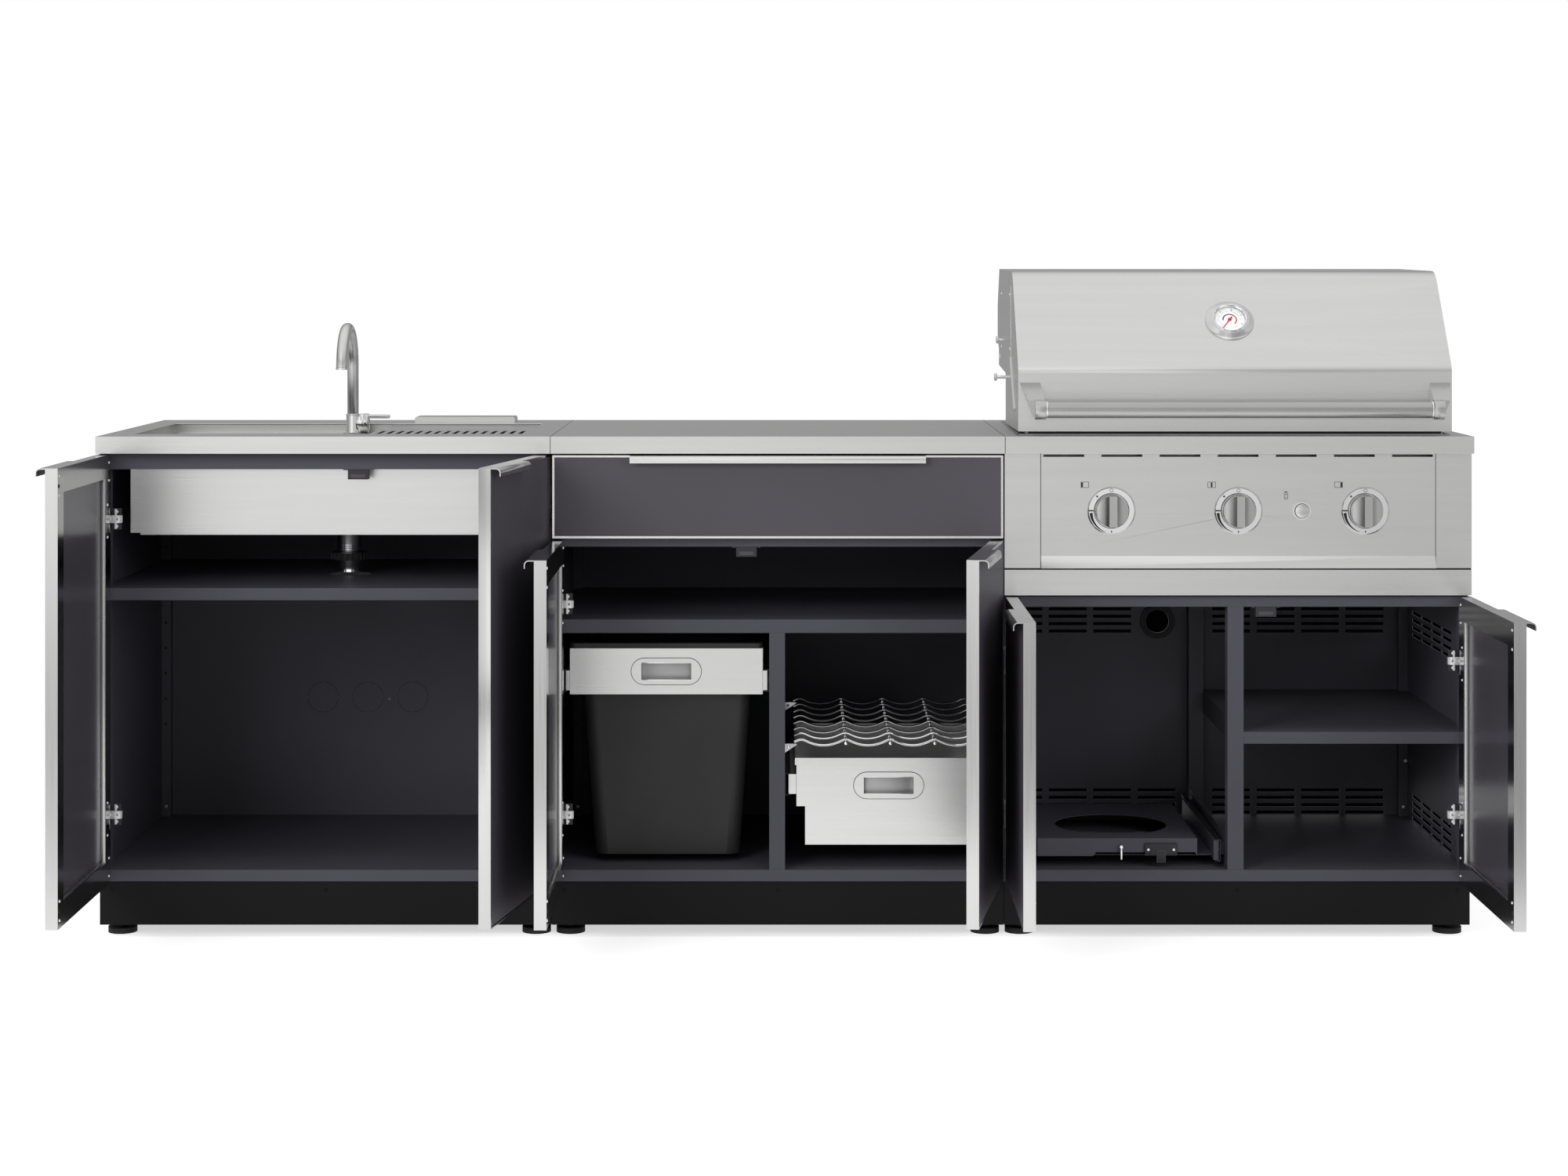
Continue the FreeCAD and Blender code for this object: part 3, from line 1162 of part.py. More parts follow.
def firebox():
    x0, x1 = BOX_X
    y0, y1 = BOX_Y
    t, side = BOX_SHEET, box_side()
    xi, xj = x0 + t, x1 - t
    front = box(xi, xj, y0, y0 + t, BOX_LOW, BOX_FRONT_TOP)
    for x in knob_places():
        front = front.cut(rod_y(BURNER_R + 0.5, y0 - 1, y0 + t + 1, x, BURNER_Z))
    back = box(xi, xj, y1 - t, y1, BOX_LOW, BOX_BACK_TOP)
    drop = box(GRILL_X - 150, GRILL_X + 150, 200, 400, BOX_LOW - 1, BOX_LOW + t + 1)
    floor = box(xi, xj, y0 + t, y1 - t, BOX_LOW, BOX_LOW + t).cut(drop)
    put("firebox", side, flipped(side, GRILL_X), front, back, floor)
    ledge = BOX_RIM[1]
    for z in (TAMER_LOW, GRATE_LOW):
        put("firebox", box(xi, xj, y0 + t, y0 + t + ledge, z - 1.5, z),
            box(xi, xj, y1 - t - ledge, y1 - t, z - 1.5, z))
    z0, z1 = COUNTER_TOP, COUNTER_TOP + 1.5
    ya, yb = y0 - BOX_RIM[0], y1 + BOX_RIM[1]
    rim = box(x0 - ledge, x0, ya, yb, z0, z1)
    put("firebox", rim, flipped(rim, GRILL_X), box(x0, x1, ya, y0, z0, z1),
        box(x0, x1, y1, yb, z0, z1))
    pin = joined(rod_x(PIVOT_R, HOOD_X[0] - 0.8, x0, *PIVOT),
                 rod_x(PIVOT_R + 4, HOOD_X[0] + SHEET + 0.4, x0, *PIVOT))
    put("hinge_hardware", pin, flipped(pin, GRILL_X))


def burners():
    y0, y1 = BURNER_Y
    for x in knob_places():
        tube = rod_y(BURNER_R, y0, y1, x, BURNER_Z)
        tube = tube.cut(rod_y(BURNER_R - 1.5, y0 - 1, y1 - 2, x, BURNER_Z))
        foot = box(x - 10, x + 10, y1, BOX_Y[1] - BOX_SHEET, BURNER_Z - 10, BURNER_Z + 10)
        put("burners", tube, foot)


def flame_tamers():
    y0, y1 = BOX_Y[0] + BOX_SHEET + 0.5, BOX_Y[1] - BOX_SHEET - 0.5
    z, w, h, t = TAMER_LOW, TAMER_HALF, TAMER_H, 1.5
    for x in knob_places():
        points = [(x - w, z), (x - w, z + 4), (x, z + h), (x + w, z + 4), (x + w, z),
                  (x + w - t, z), (x + w - t, z + 3), (x, z + h - 2),
                  (x - w + t, z + 3), (x - w + t, z)]
        put("flame_tamers", prism_y(points, y0, y1))


def cooking_grates():
    y0, y1 = BOX_Y[0] + BOX_SHEET + 1, BOX_Y[1] - BOX_SHEET - 1
    z0, z1 = GRATE_LOW, GRATE_LOW + GRATE_H
    start, gap = BOX_X[0] + BOX_SHEET + 1.5, 1.5
    width = (BOX_X[1] - BOX_X[0] - 2 * BOX_SHEET - 4 * gap) / 3
    step = (width - GRATE_BAR) / (GRATE_BARS - 1)
    for i in range(3):
        a = start + i * (width + gap)
        pieces = [box(a, a + width, y0, y0 + 9, z0, z1), box(a, a + width, y1 - 9, y1, z0, z1)]
        for k in range(GRATE_BARS):
            x = a + k * step
            pieces.append(box(x, x + GRATE_BAR, y0 + 8, y1 - 8, z0, z1))
        put("cooking_grates", joined(*pieces))


def warming_rack():
    x0, x1 = BOX_X
    z, w = WARM_Z, WARM_BAR
    front, rear = WARM_Y[0], WARM_Y[-1] + w
    pieces = [box(x0, x1, y, y + w, z, z + w) for y in WARM_Y]
    step = (x1 - x0 - w) / (WARM_BARS - 1)
    for k in range(WARM_BARS):
        x = x0 + k * step
        pieces.append(box(x, x + w, front, rear, z, z + w))
    for x in (x0, x1 - w):
        for y, foot in WARM_FEET:
            pieces.append(box(x, x + w, y, y + 6, foot, z + 1))
    put("warming_rack", joined(*pieces))


def drip_tray():
    z, w, t = GRILL_ROOF, TRAY_HALF, BASIN_WALL
    outer = box(GRILL_X - w, GRILL_X + w, 150, 450, z, z + DRIP_H)
    inner = box(GRILL_X - w + t, GRILL_X + w - t, 150 + t, 450 - t, z + t, z + DRIP_H + 1)
    put("drip_tray", outer.cut(inner))


# Hood


def bent_outline(x, corners, bends):
    """Closed outline in a plane of X, with arcs of the given radii at some corners."""
    count, edges, joints = len(corners), [], []
    points = [V(x, *corner) for corner in corners]
    for i, point in enumerate(points):
        before = (points[i - 1] - point).normalize()
        after = (points[(i + 1) % count] - point).normalize()
        half = before.getAngle(after) / 2
        r = bends.get(i, 0)
        cut_back = r / math.tan(half)
        start, end = point + before * cut_back, point + after * cut_back
        joints.append((start, end))
        if r:
            inward = (before + after).normalize() * (r / math.sin(half) - r)
            edges.append(Part.Arc(start, point + inward, end).toShape())
    for i in range(count):
        edges.append(Part.makeLine(joints[i][1], joints[(i + 1) % count][0]))
    return Part.Wire(Part.__sortEdges__(edges))


def hood_corners():
    """Front, slope, lid and back of the hood, from the front lip round to the rear."""
    return [SLOPE_LOW, SLOPE_HIGH, LID_END, (HOOD_BACK, LID_END[1] - 71.5),
            (HOOD_BACK, PIVOT[1] + 35), (REAR_LIP, PIVOT[1] + 15)]


def hood_shell():
    """Bent sheet closed by two side plates; the sides step up behind the grates."""
    x0, x1 = HOOD_X
    py, pz = PIVOT
    corners = hood_corners()
    bends = {1: SLOPE_BEND, 2: TOP_BEND}
    sides = [(HOOD_FRONT, HOOD_LOW)] + corners
    sides += [(REAR_LIP, pz - 17), (SIDE_STEP, pz - 27), (SIDE_STEP, HOOD_LOW)]
    room = [(HOOD_FRONT, HOOD_LOW - 30)] + corners + [(REAR_LIP, HOOD_LOW - 30)]
    outer = Part.Face(bent_outline(x0, sides, bends)).extrude(V(x1 - x0, 0, 0))
    hollow = bent_outline(x0 + SHEET, room, bends).makeOffset2D(-SHEET, 2)
    shell = outer.cut(Part.Face(hollow).extrude(V(x1 - x0 - 2 * SHEET, 0, 0)))
    for x in (x0, x1):
        shell = shell.cut(rod_x(PIVOT_BORE_R, x - 3, x + 3, py, pz))
    ny, nz = slope_normal()
    gy, gz = gauge_centre()
    hole = Part.makeCylinder(6.3, 12, V(GRILL_X, gy - 6 * ny, gz - 6 * nz), V(0, ny, nz))
    put("hood_shell", shell.cut(hole))
    put("hood_shell", box(x0 - 0.8, x0, py - 290, py - 43, pz + 7, pz + 140))
    ridge = box(x0 - 3, x0, py - 295.5, py - 288.5, pz - 128, pz + 5)
    put("hood_shell", turned(ridge, (x0, py - 292, pz + 5), (1, 0, 0), -46.2))
    for y, z, out, base in ((py - 57, pz + 34, 11.4, 0.8), (py - 203, pz - 33, 25.0, 0.0)):
        put("hood_shell", joined(rod_x(3.0, x0 - out, x0 - base, y, z),
                                 rod_x(6.5, x0 - out, x0 - out + 5, y, z)))


def slope_normal():
    dy, dz = SLOPE_HIGH[0] - SLOPE_LOW[0], SLOPE_HIGH[1] - SLOPE_LOW[1]
    n = math.hypot(dy, dz)
    return -dz / n, dy / n


def gauge_centre():
    (y0, z0), (y1, z1) = SLOPE_LOW, SLOPE_HIGH
    return y0 + GAUGE_ALONG * (y1 - y0), z0 + GAUGE_ALONG * (z1 - z0)


def on_slope(shape):
    """Places a shape made around the Z axis on the sloped face of the hood."""
    ny, nz = slope_normal()
    copy = turned(shape, (0, 0, 0), (1, 0, 0), math.degrees(math.atan2(-ny, nz)))
    return moved(copy, GRILL_X, *gauge_centre())


def gauge():
    rim, seat = DIAL_R + 2, DIAL_R + 0.6
    case = lathe([(0, 0), (GAUGE_R, 0), (GAUGE_R, 2), (rim, 11), (seat, 11), (seat, 8),
                  (DIAL_R, 8), (DIAL_R, 3), (0, 3)])
    stem = rod_z(6.0, -42, 1, 0, 0)
    pin = rod_z(NEEDLE_PIN_R, 2, 6.2, 0, 0)
    put("gauge_case", on_slope(joined(case, stem, pin)))
    put("gauge_lens", on_slope(rod_z(DIAL_R + 0.5, 8, 9.5, 0, 0)))
    arm = prism_z([(-7, -1.6), (NEEDLE_L, -0.5), (NEEDLE_L, 0.5), (-7, 1.6)], 4, 5)
    arm = joined(arm, rod_z(3.4, 4, 5.4, 0, 0)).cut(rod_z(NEEDLE_BORE_R, 3, 7, 0, 0))
    put("gauge_needle", on_slope(turned(arm, (0, 0, 0), (0, 0, 1), NEEDLE_ANGLE)))


def hood_handle():
    """Tube on two wedge brackets that widen towards the hood."""
    x0, y, z = HOOD_X[0], HANDLE_Y, HANDLE_Z
    xa = x0 + HANDLE_IN
    top, low = z + 46.5, z - 15.5
    bar = rod_x(HANDLE_R, xa, 2 * GRILL_X - xa, y, z)
    front = prism_y([(x0 + 2.7, top), (xa - 4.5, top), (xa + 0.5, z + 10.5), (xa + 0.5, low),
                     (x0 + 26.7, low)], y - 36, HOOD_FRONT + 12)
    side = prism_x([(HOOD_FRONT, top), (HOOD_FRONT, low), (y, low), (y, z + 16.5)],
                   x0, xa + 30)
    ferrule = rod_x(FERRULE_R, x0 + 25.7, xa + 0.5, y, z)
    bracket = joined(front.common(side), ferrule).cut(rod_x(HANDLE_R, xa, xa + 15, y, z))
    put("hood_handle", bar, bracket, flipped(bracket, GRILL_X))


# Tank tray


def tank_tray():
    """Folded tray with a round seat for the tank, a latch and a wing bolt."""
    x0, x1 = TRAY_X
    y0, y1 = TRAY_Y
    z0, z1 = TRAY_Z
    t, (hx, hy) = SHEET, TANK_HOLE
    points = [(y0, z0), (y0 + t, z0), (y0 + t, z1 - t), (y1 - t, z1 - t),
              (y1 - t, z0 + t), (y1, z0 + t), (y1, z1), (y0, z1)]
    flat = hy - 84
    hole = rod_z(TANK_HOLE_R, z1 - 3, z1 + 1, hx, hy)
    hole = hole.cut(box(hx - 120, hx + 120, hy - 120, flat, z1 - 4, z1 + 2))
    tabs = [box(hx + d - 9, hx + d + 9, flat, flat + 10, z1 - 4, z1 + 2) for d in (-45, 45)]
    arch = prism_y([(x0 + 100, z0 - 1), (x0 + 106, z0 + 7), (x1 - 4, z0 + 7),
                    (x1 + 1, z0 - 1)], y0 - 1, y0 + 5)
    top = cut(prism_x(points, x0, x1), cut(hole, *tabs), arch)
    side = box(x0, x0 + t, y0 + t, y1 - t, z0 + t, z1 - t)
    bx0, bx1 = TRAY_BASE_X
    base = box(bx0, bx1, y0 + 10, y1, z0, z0 + t)
    latch = box(hx + 47, hx + 105, y0 - 6, y0, z0 + 2, z0 + 23)
    tongue = box(hx + 68, hx + 84, y0 - 9, y0 - 6, z0 - 10, z0 + 13)
    bolt = joined(rod_y(2.5, y0 - 9, y0, hx + 4, z0 + 18),
                  box(hx + 2.8, hx + 5.2, y0 - 11, y0 - 4, z0 - 5, z0 + 21))
    put("tank_tray", top, side, flipped(side, (x0 + x1) / 2), base, latch, tongue, bolt,
        runner(bx0 - TRAY_RUNNERS[0], bx0, TRAY_SLIDE_Z, 63),
        runner(bx1, bx1 + TRAY_RUNNERS[1], TRAY_SLIDE_Z, 63))


def hose_grommet():
    ring = joined(rod_y(GROMMET_FLANGE_R, BACK_IN - 4, BACK_IN, *GROMMET),
                  rod_y(GROMMET_NECK_R, BACK_IN - 1, BACK_OUT + 3, *GROMMET))
    bore = rod_y(GROMMET_BORE_R, BACK_IN - 6, BACK_OUT + 5, *GROMMET)
    put("hose_grommet", ring.cut(bore))


def export_all():
    """Puts the origin at the bottom centre of everything, then writes each node."""
    whole = Part.makeCompound([s for shapes in NODES.values() for s in shapes])
    b = whole.BoundBox
    shift = V(-(b.XMin + b.XMax) / 2, -(b.YMin + b.YMax) / 2, -b.ZMin)
    print("shift %.3f %.3f %.3f" % (shift.x, shift.y, shift.z))
    for node, shapes in NODES.items():
        solids = [solid for shape in shapes for solid in shape.Solids]
        for solid in solids:
            if not solid.isValid() or solid.Volume <= 0:
                print("bad solid in", node)
        part = Part.makeCompound(solids)
        part.translate(shift)
        part.exportStep("parts/" + node + ".step")
    print(len(NODES), "nodes,", len([s for v in NODES.values() for s in v]), "shapes")


sink_cabinet()
bar_cabinet()
grill_cabinet()
toe_kicks()
leveling_feet()
shelves()
dividers()
doors()
door_catches()
fixed_slides()
top_drawer()
bin_carriage()
waste_bin()
lower_drawer()
wine_rack()
counters()
sink_basin()
sink_drain()
drain_board()
deck_plate()
faucet_base()
faucet_lever()
faucet_spout()
grill_surround()
control_panel()
control_bezels()
knobs()
gas_manifold()
firebox()
burners()
flame_tamers()
cooking_grates()
warming_rack()
drip_tray()
hood_shell()
gauge()
hood_handle()
tank_tray()
hose_grommet()
export_all()
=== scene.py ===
import math

import bmesh
import bpy
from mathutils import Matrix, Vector


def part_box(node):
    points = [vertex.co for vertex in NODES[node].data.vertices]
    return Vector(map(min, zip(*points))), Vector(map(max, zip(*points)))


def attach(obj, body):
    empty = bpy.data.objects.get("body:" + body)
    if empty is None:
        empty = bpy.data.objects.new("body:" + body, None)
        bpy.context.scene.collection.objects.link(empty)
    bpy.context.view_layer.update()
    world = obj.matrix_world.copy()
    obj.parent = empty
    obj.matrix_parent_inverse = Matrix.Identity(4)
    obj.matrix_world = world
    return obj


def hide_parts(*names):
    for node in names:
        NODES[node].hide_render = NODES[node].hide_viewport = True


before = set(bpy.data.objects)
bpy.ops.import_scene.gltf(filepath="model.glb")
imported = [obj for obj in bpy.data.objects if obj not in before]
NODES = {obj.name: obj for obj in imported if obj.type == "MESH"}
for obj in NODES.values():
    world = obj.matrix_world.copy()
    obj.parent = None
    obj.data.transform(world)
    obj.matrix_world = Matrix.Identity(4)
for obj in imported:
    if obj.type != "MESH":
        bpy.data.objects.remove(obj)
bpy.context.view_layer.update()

# Places below are written in the layout of the part, millimetres: X from the
# middle of the run, Y from the counter front to the back, Z from the floor.
MM = 0.001
SHIFT_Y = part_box("sink_counter")[0].y

# Cabinets and counters
X_SINK, X_BAR, X_GRILL, X_END = -1231.9, -419.1, 393.7, 1231.9
MODULES = ((X_SINK, X_BAR), (X_BAR, X_GRILL), (X_GRILL, X_END))
RAIL_Y, STILE_Y, POST_Y, BACK_IN = 36.0, 50.0, 575.0, 594.0
SIDE_IN = 1.6
SHELVES_Z = (558.0, 616.0)
COUNTER_LOW, COUNTER_TOP = 871.0, 901.7
DECK_Y = (1.2, 608.4)
DRAWER_LOW = 719.0
FOOT_IN, FOOT_Y = 31.0, (86.0, 545.0)
KNOCKOUT_X, KNOCKOUT_PITCH, KNOCKOUT_Z = -825.5, 88.8, 353.7
CATCHES = ((-767.6, 841.0), (-69.1, 702.0), (865.6, 594.0))

# Doors: X of the hinge edge, the way they reach from it, open angle, width, top
DOORS = {
    "sink_door_left": (X_SINK, 1, 90, 400.1, 869.0),
    "sink_door_right": (X_BAR, -1, 80, 400.1, 869.0),
    "bar_door_left": (X_BAR, 1, 90, 400.1, 716.0),
    "bar_door_right": (X_GRILL, -1, 80, 400.1, 716.0),
    "grill_door_left": (X_GRILL, 1, 90, 412.8, 614.0),
    "grill_door_right": (X_END, -1, 90, 412.8, 614.0),
}
DOOR_GAP, DOOR_LOW, DOOR_FRONT, DOOR_BACK = 4.2, 101.0, 12.0, 33.0
PIVOT_U, PIVOT_Y = 4.5, 19.0
HINGE_END = 118.0
BORDER, PULL_LONG = 42.0, 202.2
TRIM, TRIM_Y, SHEET_Y, SEAL_Y = 3.2, (25.2, 31.5), (25.01, 25.09), (25.1, 26.2)

# Slides: X of the web, the way its channel opens, middle Z and front Y
SLIDES = ((-403.5, 1, 458.0, 58.0), (-28.0, -1, 458.0, 58.0),
          (0.4, 1, 270.0, 62.0), (361.5, -1, 270.0, 62.0),
          (409.3, 1, 151.0, 60.0), (787.0, -1, 151.0, 60.0),
          (-403.5, 1, 790.0, 52.0), (378.1, -1, 790.0, 52.0))
LATCH_X, LATCH_Y, BOLT_X = 680.0, 63.4, 608.0

# Sink and faucet
DRAIN, FAUCET = (-820.0, 300.0), (-832.0, 430.0)
SPOUT_REACH, HUB_Z = 148.0, 904.0

# Grill head
GRILL_X = (X_GRILL + X_END) / 2
PANEL_Y, BEZEL_Y, PILLAR = 20.0, 16.0, 65.2
KNOB_Z, KNOB_DX = 767.8, 227.43
KNOBS = (("knob_left", GRILL_X - KNOB_DX), ("knob_centre", GRILL_X),
         ("knob_right", GRILL_X + KNOB_DX))
KNOB_R, GRIP_HALF = 28.8, 7.0
MARK, MARK_R = 0.12, 36.4
IGNITER_X = GRILL_X + KNOB_DX * 0.498
# Inner and outer radius of the ring of painted shade in the gap round the igniter button
BUTTON_GAP_SHADE = (12.6, 13.5)
SLOPE_LOW, SLOPE_HIGH = (58.0, 1022.3), (200.7, 1197.1)
GAUGE_ALONG, DIAL_H, DIAL_INK, SCALE_START = 0.481, 3.2, 0.1, 235.0
ARC_R, ARC_WIDE, ARC_HOT = 13.4, 2.4, 52
HOOD_SIDE = 421.3
HANDLE_Y, HANDLE_Z, HANDLE_R, HANDLE_HALF = 6.0, 949.5, 15.0, 342.8
FIREBOX_X = (436.0, 1189.6)
BURNER_Z, PORT_R, PORT_TILT = 812.0, 16.0, 38.0

# Light as the surfaces see it: mirror-like rays get a studio that is brightest
# ahead on the left and overhead, and all other rays get a soft dome. Two bands
# darken that studio by a share, between a rise and a fall in height: a narrow
# one where the floor sweep ends and a wide one above the horizon.
GLOSS_AHEAD = ((-1.0, 0.85), (-0.5, 1.1), (-0.16, 1.38), (0.0, 1.09), (0.11, 0.87),
               (0.2, 0.68), (0.35, 0.7), (0.7, 0.86), (1.0, 0.9))
GLOSS_BACK, GLOSS_TOP = 0.4, 1.0
LOW_BAND = (0.72, (-0.19, -0.162), (-0.14, -0.09))
HIGH_BAND = (0.45, (0.12, 0.2), (0.26, 0.38))
SOFT_LOW, SOFT_HIGH = 0.3, 0.6
FLOOR_HALF, FLOOR_LIFT, FLOOR_MIRRORED = 30.0, 0.6, 0.42
NEAR_FLOOR, FAR_FLOOR = 1.5, 2.3

# Rounding of the CAD edges in millimetres, and the angle where shading turns sharp
EDGE, SMOOTH = 0.4, 35.0


def at(x, y, z):
    return Vector((x * MM, y * MM + SHIFT_Y, z * MM))


# Materials


class Net:
    """Short calls for the nodes of a material or of the world."""

    def __init__(self, tree):
        self.tree = tree
        tree.nodes.clear()

    def node(self, kind, **settings):
        made = self.tree.nodes.new(kind)
        for key, value in settings.items():
            setattr(made, key, value)
        return made

    def link(self, a, b):
        self.tree.links.new(a, b)

    def math(self, operation, a, b):
        made = self.node("ShaderNodeMath", operation=operation)
        for place, value in enumerate((a, b)):
            if isinstance(value, (int, float)):
                made.inputs[place].default_value = value
            else:
                self.link(value, made.inputs[place])
        return made.outputs[0]

    def ranged(self, socket, a, b, low, high, kind="SMOOTHSTEP"):
        """Goes from low to high as the socket goes from a to b."""
        made = self.node("ShaderNodeMapRange", interpolation_type=kind)
        for key, number in (("From Min", a), ("From Max", b), ("To Min", low), ("To Max", high)):
            made.inputs[key].default_value = number
        self.link(socket, made.inputs["Value"])
        return made.outputs["Result"]

    def mixed(self, fac, a, b):
        made = self.node("ShaderNodeMixShader")
        for place, value in enumerate((fac, a, b)):
            self.link(value, made.inputs[place])
        return made.outputs[0]

    def seen(self):
        """The ray's path, and 1 for rays that should meet the plain white studio."""
        path = self.node("ShaderNodeLightPath")
        return path, self.math("MAXIMUM", path.outputs["Is Camera Ray"],
                               path.outputs["Is Transmission Ray"])


class Shader(Net):
    """A principled material, with noise for its colour, roughness and bump."""

    def __init__(self, name, colour, roughness, metallic=0.0, **sockets):
        self.material = bpy.data.materials.new(name)
        self.material.use_nodes = True
        super().__init__(self.material.node_tree)
        out = self.node("ShaderNodeOutputMaterial")
        self.bsdf = self.node("ShaderNodeBsdfPrincipled")
        self.link(self.bsdf.outputs[0], out.inputs["Surface"])
        self.set("Base Color", (*colour, 1.0))
        self.set("Metallic", metallic)
        self.set("Roughness", roughness)
        for key, value in sockets.items():
            self.set(key.replace("_", " "), value)

    def set(self, socket, value):
        self.bsdf.inputs[socket].default_value = value

    def noise(self, scale, detail):
        """Noise over the object's own place in metres; a low scale draws it out."""
        place = self.node("ShaderNodeTexCoord")
        mapping = self.node("ShaderNodeMapping")
        mapping.inputs["Scale"].default_value = scale
        self.link(place.outputs["Object"], mapping.inputs["Vector"])
        made = self.node("ShaderNodeTexNoise")
        for key, number in (("Scale", 1.0), ("Detail", detail), ("Roughness", 0.55)):
            made.inputs[key].default_value = number
        self.link(mapping.outputs["Vector"], made.inputs["Vector"])
        return made.outputs["Fac"]

    def spread(self, noise, low, high):
        """Stretches the middle of the noise to run from low to high."""
        return self.ranged(noise, 0.3, 0.7, low, high, "LINEAR")

    def side_mask(self):
        """1 where the surface faces along X, in the object's own axes."""
        place = self.node("ShaderNodeTexCoord")
        split = self.node("ShaderNodeSeparateXYZ")
        self.link(place.outputs["Normal"], split.inputs[0])
        return self.math("GREATER_THAN", self.math("ABSOLUTE", split.outputs["X"], 0.0), 0.7)

    def choose(self, mask, a, b):
        made = self.node("ShaderNodeMix", data_type="FLOAT")
        for key, value in (("Factor", mask), ("A", a), ("B", b)):
            self.link(value, made.inputs[key])
        return made.outputs["Result"]

    def tint(self, noise, colour, low, high):
        """Lets the colour wander between two shares of its brightness."""
        made = self.node("ShaderNodeMix", data_type="RGBA")
        for key, factor in (("A", low), ("B", high)):
            made.inputs[key].default_value = (*(min(1.0, c * factor) for c in colour), 1.0)
        self.link(self.spread(noise, 0.0, 1.0), made.inputs["Factor"])
        self.link(made.outputs["Result"], self.bsdf.inputs["Base Color"])

    def roughen(self, noise, low, high):
        self.link(self.spread(noise, low, high), self.bsdf.inputs["Roughness"])

    def bump(self, height, strength, distance):
        made = self.node("ShaderNodeBump")
        made.inputs["Strength"].default_value = strength
        made.inputs["Distance"].default_value = distance
        self.link(height, made.inputs["Height"])
        self.link(made.outputs["Normal"], self.bsdf.inputs["Normal"])


def brushed(name, colour, rough, vertical=False, bump=0.06):
    """Brushed steel: grain along the run, or across it where the face is a side."""
    m = Shader(name, colour, rough, metallic=1.0)
    if vertical:
        fine = m.noise((900, 900, 7), 4)
        broad = m.noise((60, 60, 2), 2)
    else:
        side = m.side_mask()
        fine = m.choose(side, m.noise((7, 900, 900), 4), m.noise((900, 7, 900), 4))
        broad = m.choose(side, m.noise((2, 60, 60), 2), m.noise((60, 2, 60), 2))
    m.tint(broad, colour, 0.98, 1.02)
    m.roughen(fine, rough - 0.03, rough + 0.03)
    m.bump(fine, bump, 0.00006)
    return m.material


def powder(name, colour, rough, grain=0.12, shine=0.3):
    """Powder coat: a fine orange-peel grain with faint patches."""
    m = Shader(name, colour, rough, Specular_IOR_Level=shine)
    grains = m.noise((1400, 1400, 1400), 2)
    m.tint(m.noise((5, 5, 5), 3), colour, 0.95, 1.05)
    m.roughen(grains, rough - 0.06, rough + 0.1)
    m.bump(grains, grain, 0.0001)
    return m.material


def polished(name, colour, rough, metal=1.0):
    """Smooth metal with a slow haze."""
    m = Shader(name, colour, rough, metallic=metal)
    haze = m.noise((9, 9, 9), 2)
    m.roughen(haze, rough * 0.9, rough * 1.12)
    m.tint(haze, colour, 0.98, 1.01)
    return m.material


def moulded(name, colour, rough, scale=700, grain=0.2):
    """Plastic, rubber, cast iron or paint with a fine grain."""
    m = Shader(name, colour, rough, Specular_IOR_Level=0.3)
    grains = m.noise((scale, scale, scale), 3)
    m.tint(m.noise((8, 8, 8), 2), colour, 0.88, 1.15)
    m.roughen(grains, rough - 0.08, rough + 0.08)
    m.bump(grains, grain, 0.00015)
    return m.material


SLATE = (0.068, 0.062, 0.075)
STEEL = (0.66, 0.66, 0.655)
steel = brushed("steel_run_grain", STEEL, 0.3)
steel_bright = brushed("steel_bright", (0.74, 0.74, 0.73), 0.27)
steel_door = brushed("steel_upright_grain", (0.6, 0.6, 0.596), 0.16, vertical=True, bump=0.1)
steel_dull = brushed("steel_plain", (0.4, 0.4, 0.4), 0.42)
slate = powder("slate_coat", SLATE, 0.42)
cabinet_coat = powder("cabinet_coat", (0.07, 0.069, 0.085), 0.5, shine=0.25)
sheet_gloss = powder("inner_sheet_gloss", SLATE, 0.2, grain=0.02, shine=0.5)
slate_dark = powder("slate_inner", (0.03, 0.028, 0.034), 0.5)
kick_black = powder("kick_black_coat", (0.008, 0.008, 0.008), 0.5, shine=0.1)
rubber = moulded("black_rubber", (0.012, 0.012, 0.012), 0.6)
plastic = moulded("catch_plastic", (0.03, 0.03, 0.033), 0.5)
bin_skin = moulded("bin_plastic", (0.026, 0.026, 0.026), 0.5, 900, 0.12)
chrome = polished("chrome", (0.82, 0.82, 0.82), 0.1)
satin = polished("satin_steel", STEEL, 0.26)
satin_grey = polished("satin_grey", (0.5, 0.5, 0.495), 0.28)
satin_handle = polished("satin_handle", (0.43, 0.43, 0.425), 0.24)
bezel = polished("bezel_chrome", (0.68, 0.68, 0.68), 0.12)
nickel = polished("hinge_nickel", (0.8, 0.8, 0.8), 0.3, metal=0.45)
zinc = brushed("zinc", (0.55, 0.55, 0.54), 0.35)
slide_black = powder("slide_black", (0.02, 0.02, 0.02), 0.4)
cast = moulded("cast_grate", (0.02, 0.02, 0.02), 0.65, 250, 0.5)
brass = polished("brass", (0.62, 0.47, 0.22), 0.3)
red = moulded("needle_red", (0.5, 0.012, 0.012), 0.4)
white = moulded("dial_white", (0.82, 0.82, 0.82), 0.5, 900, 0.03)
ink = moulded("dial_black", (0.012, 0.012, 0.012), 0.45, 900, 0.03)
lens = Shader("lens_glass", (1, 1, 1), 0.02, Transmission_Weight=1.0, IOR=1.2).material

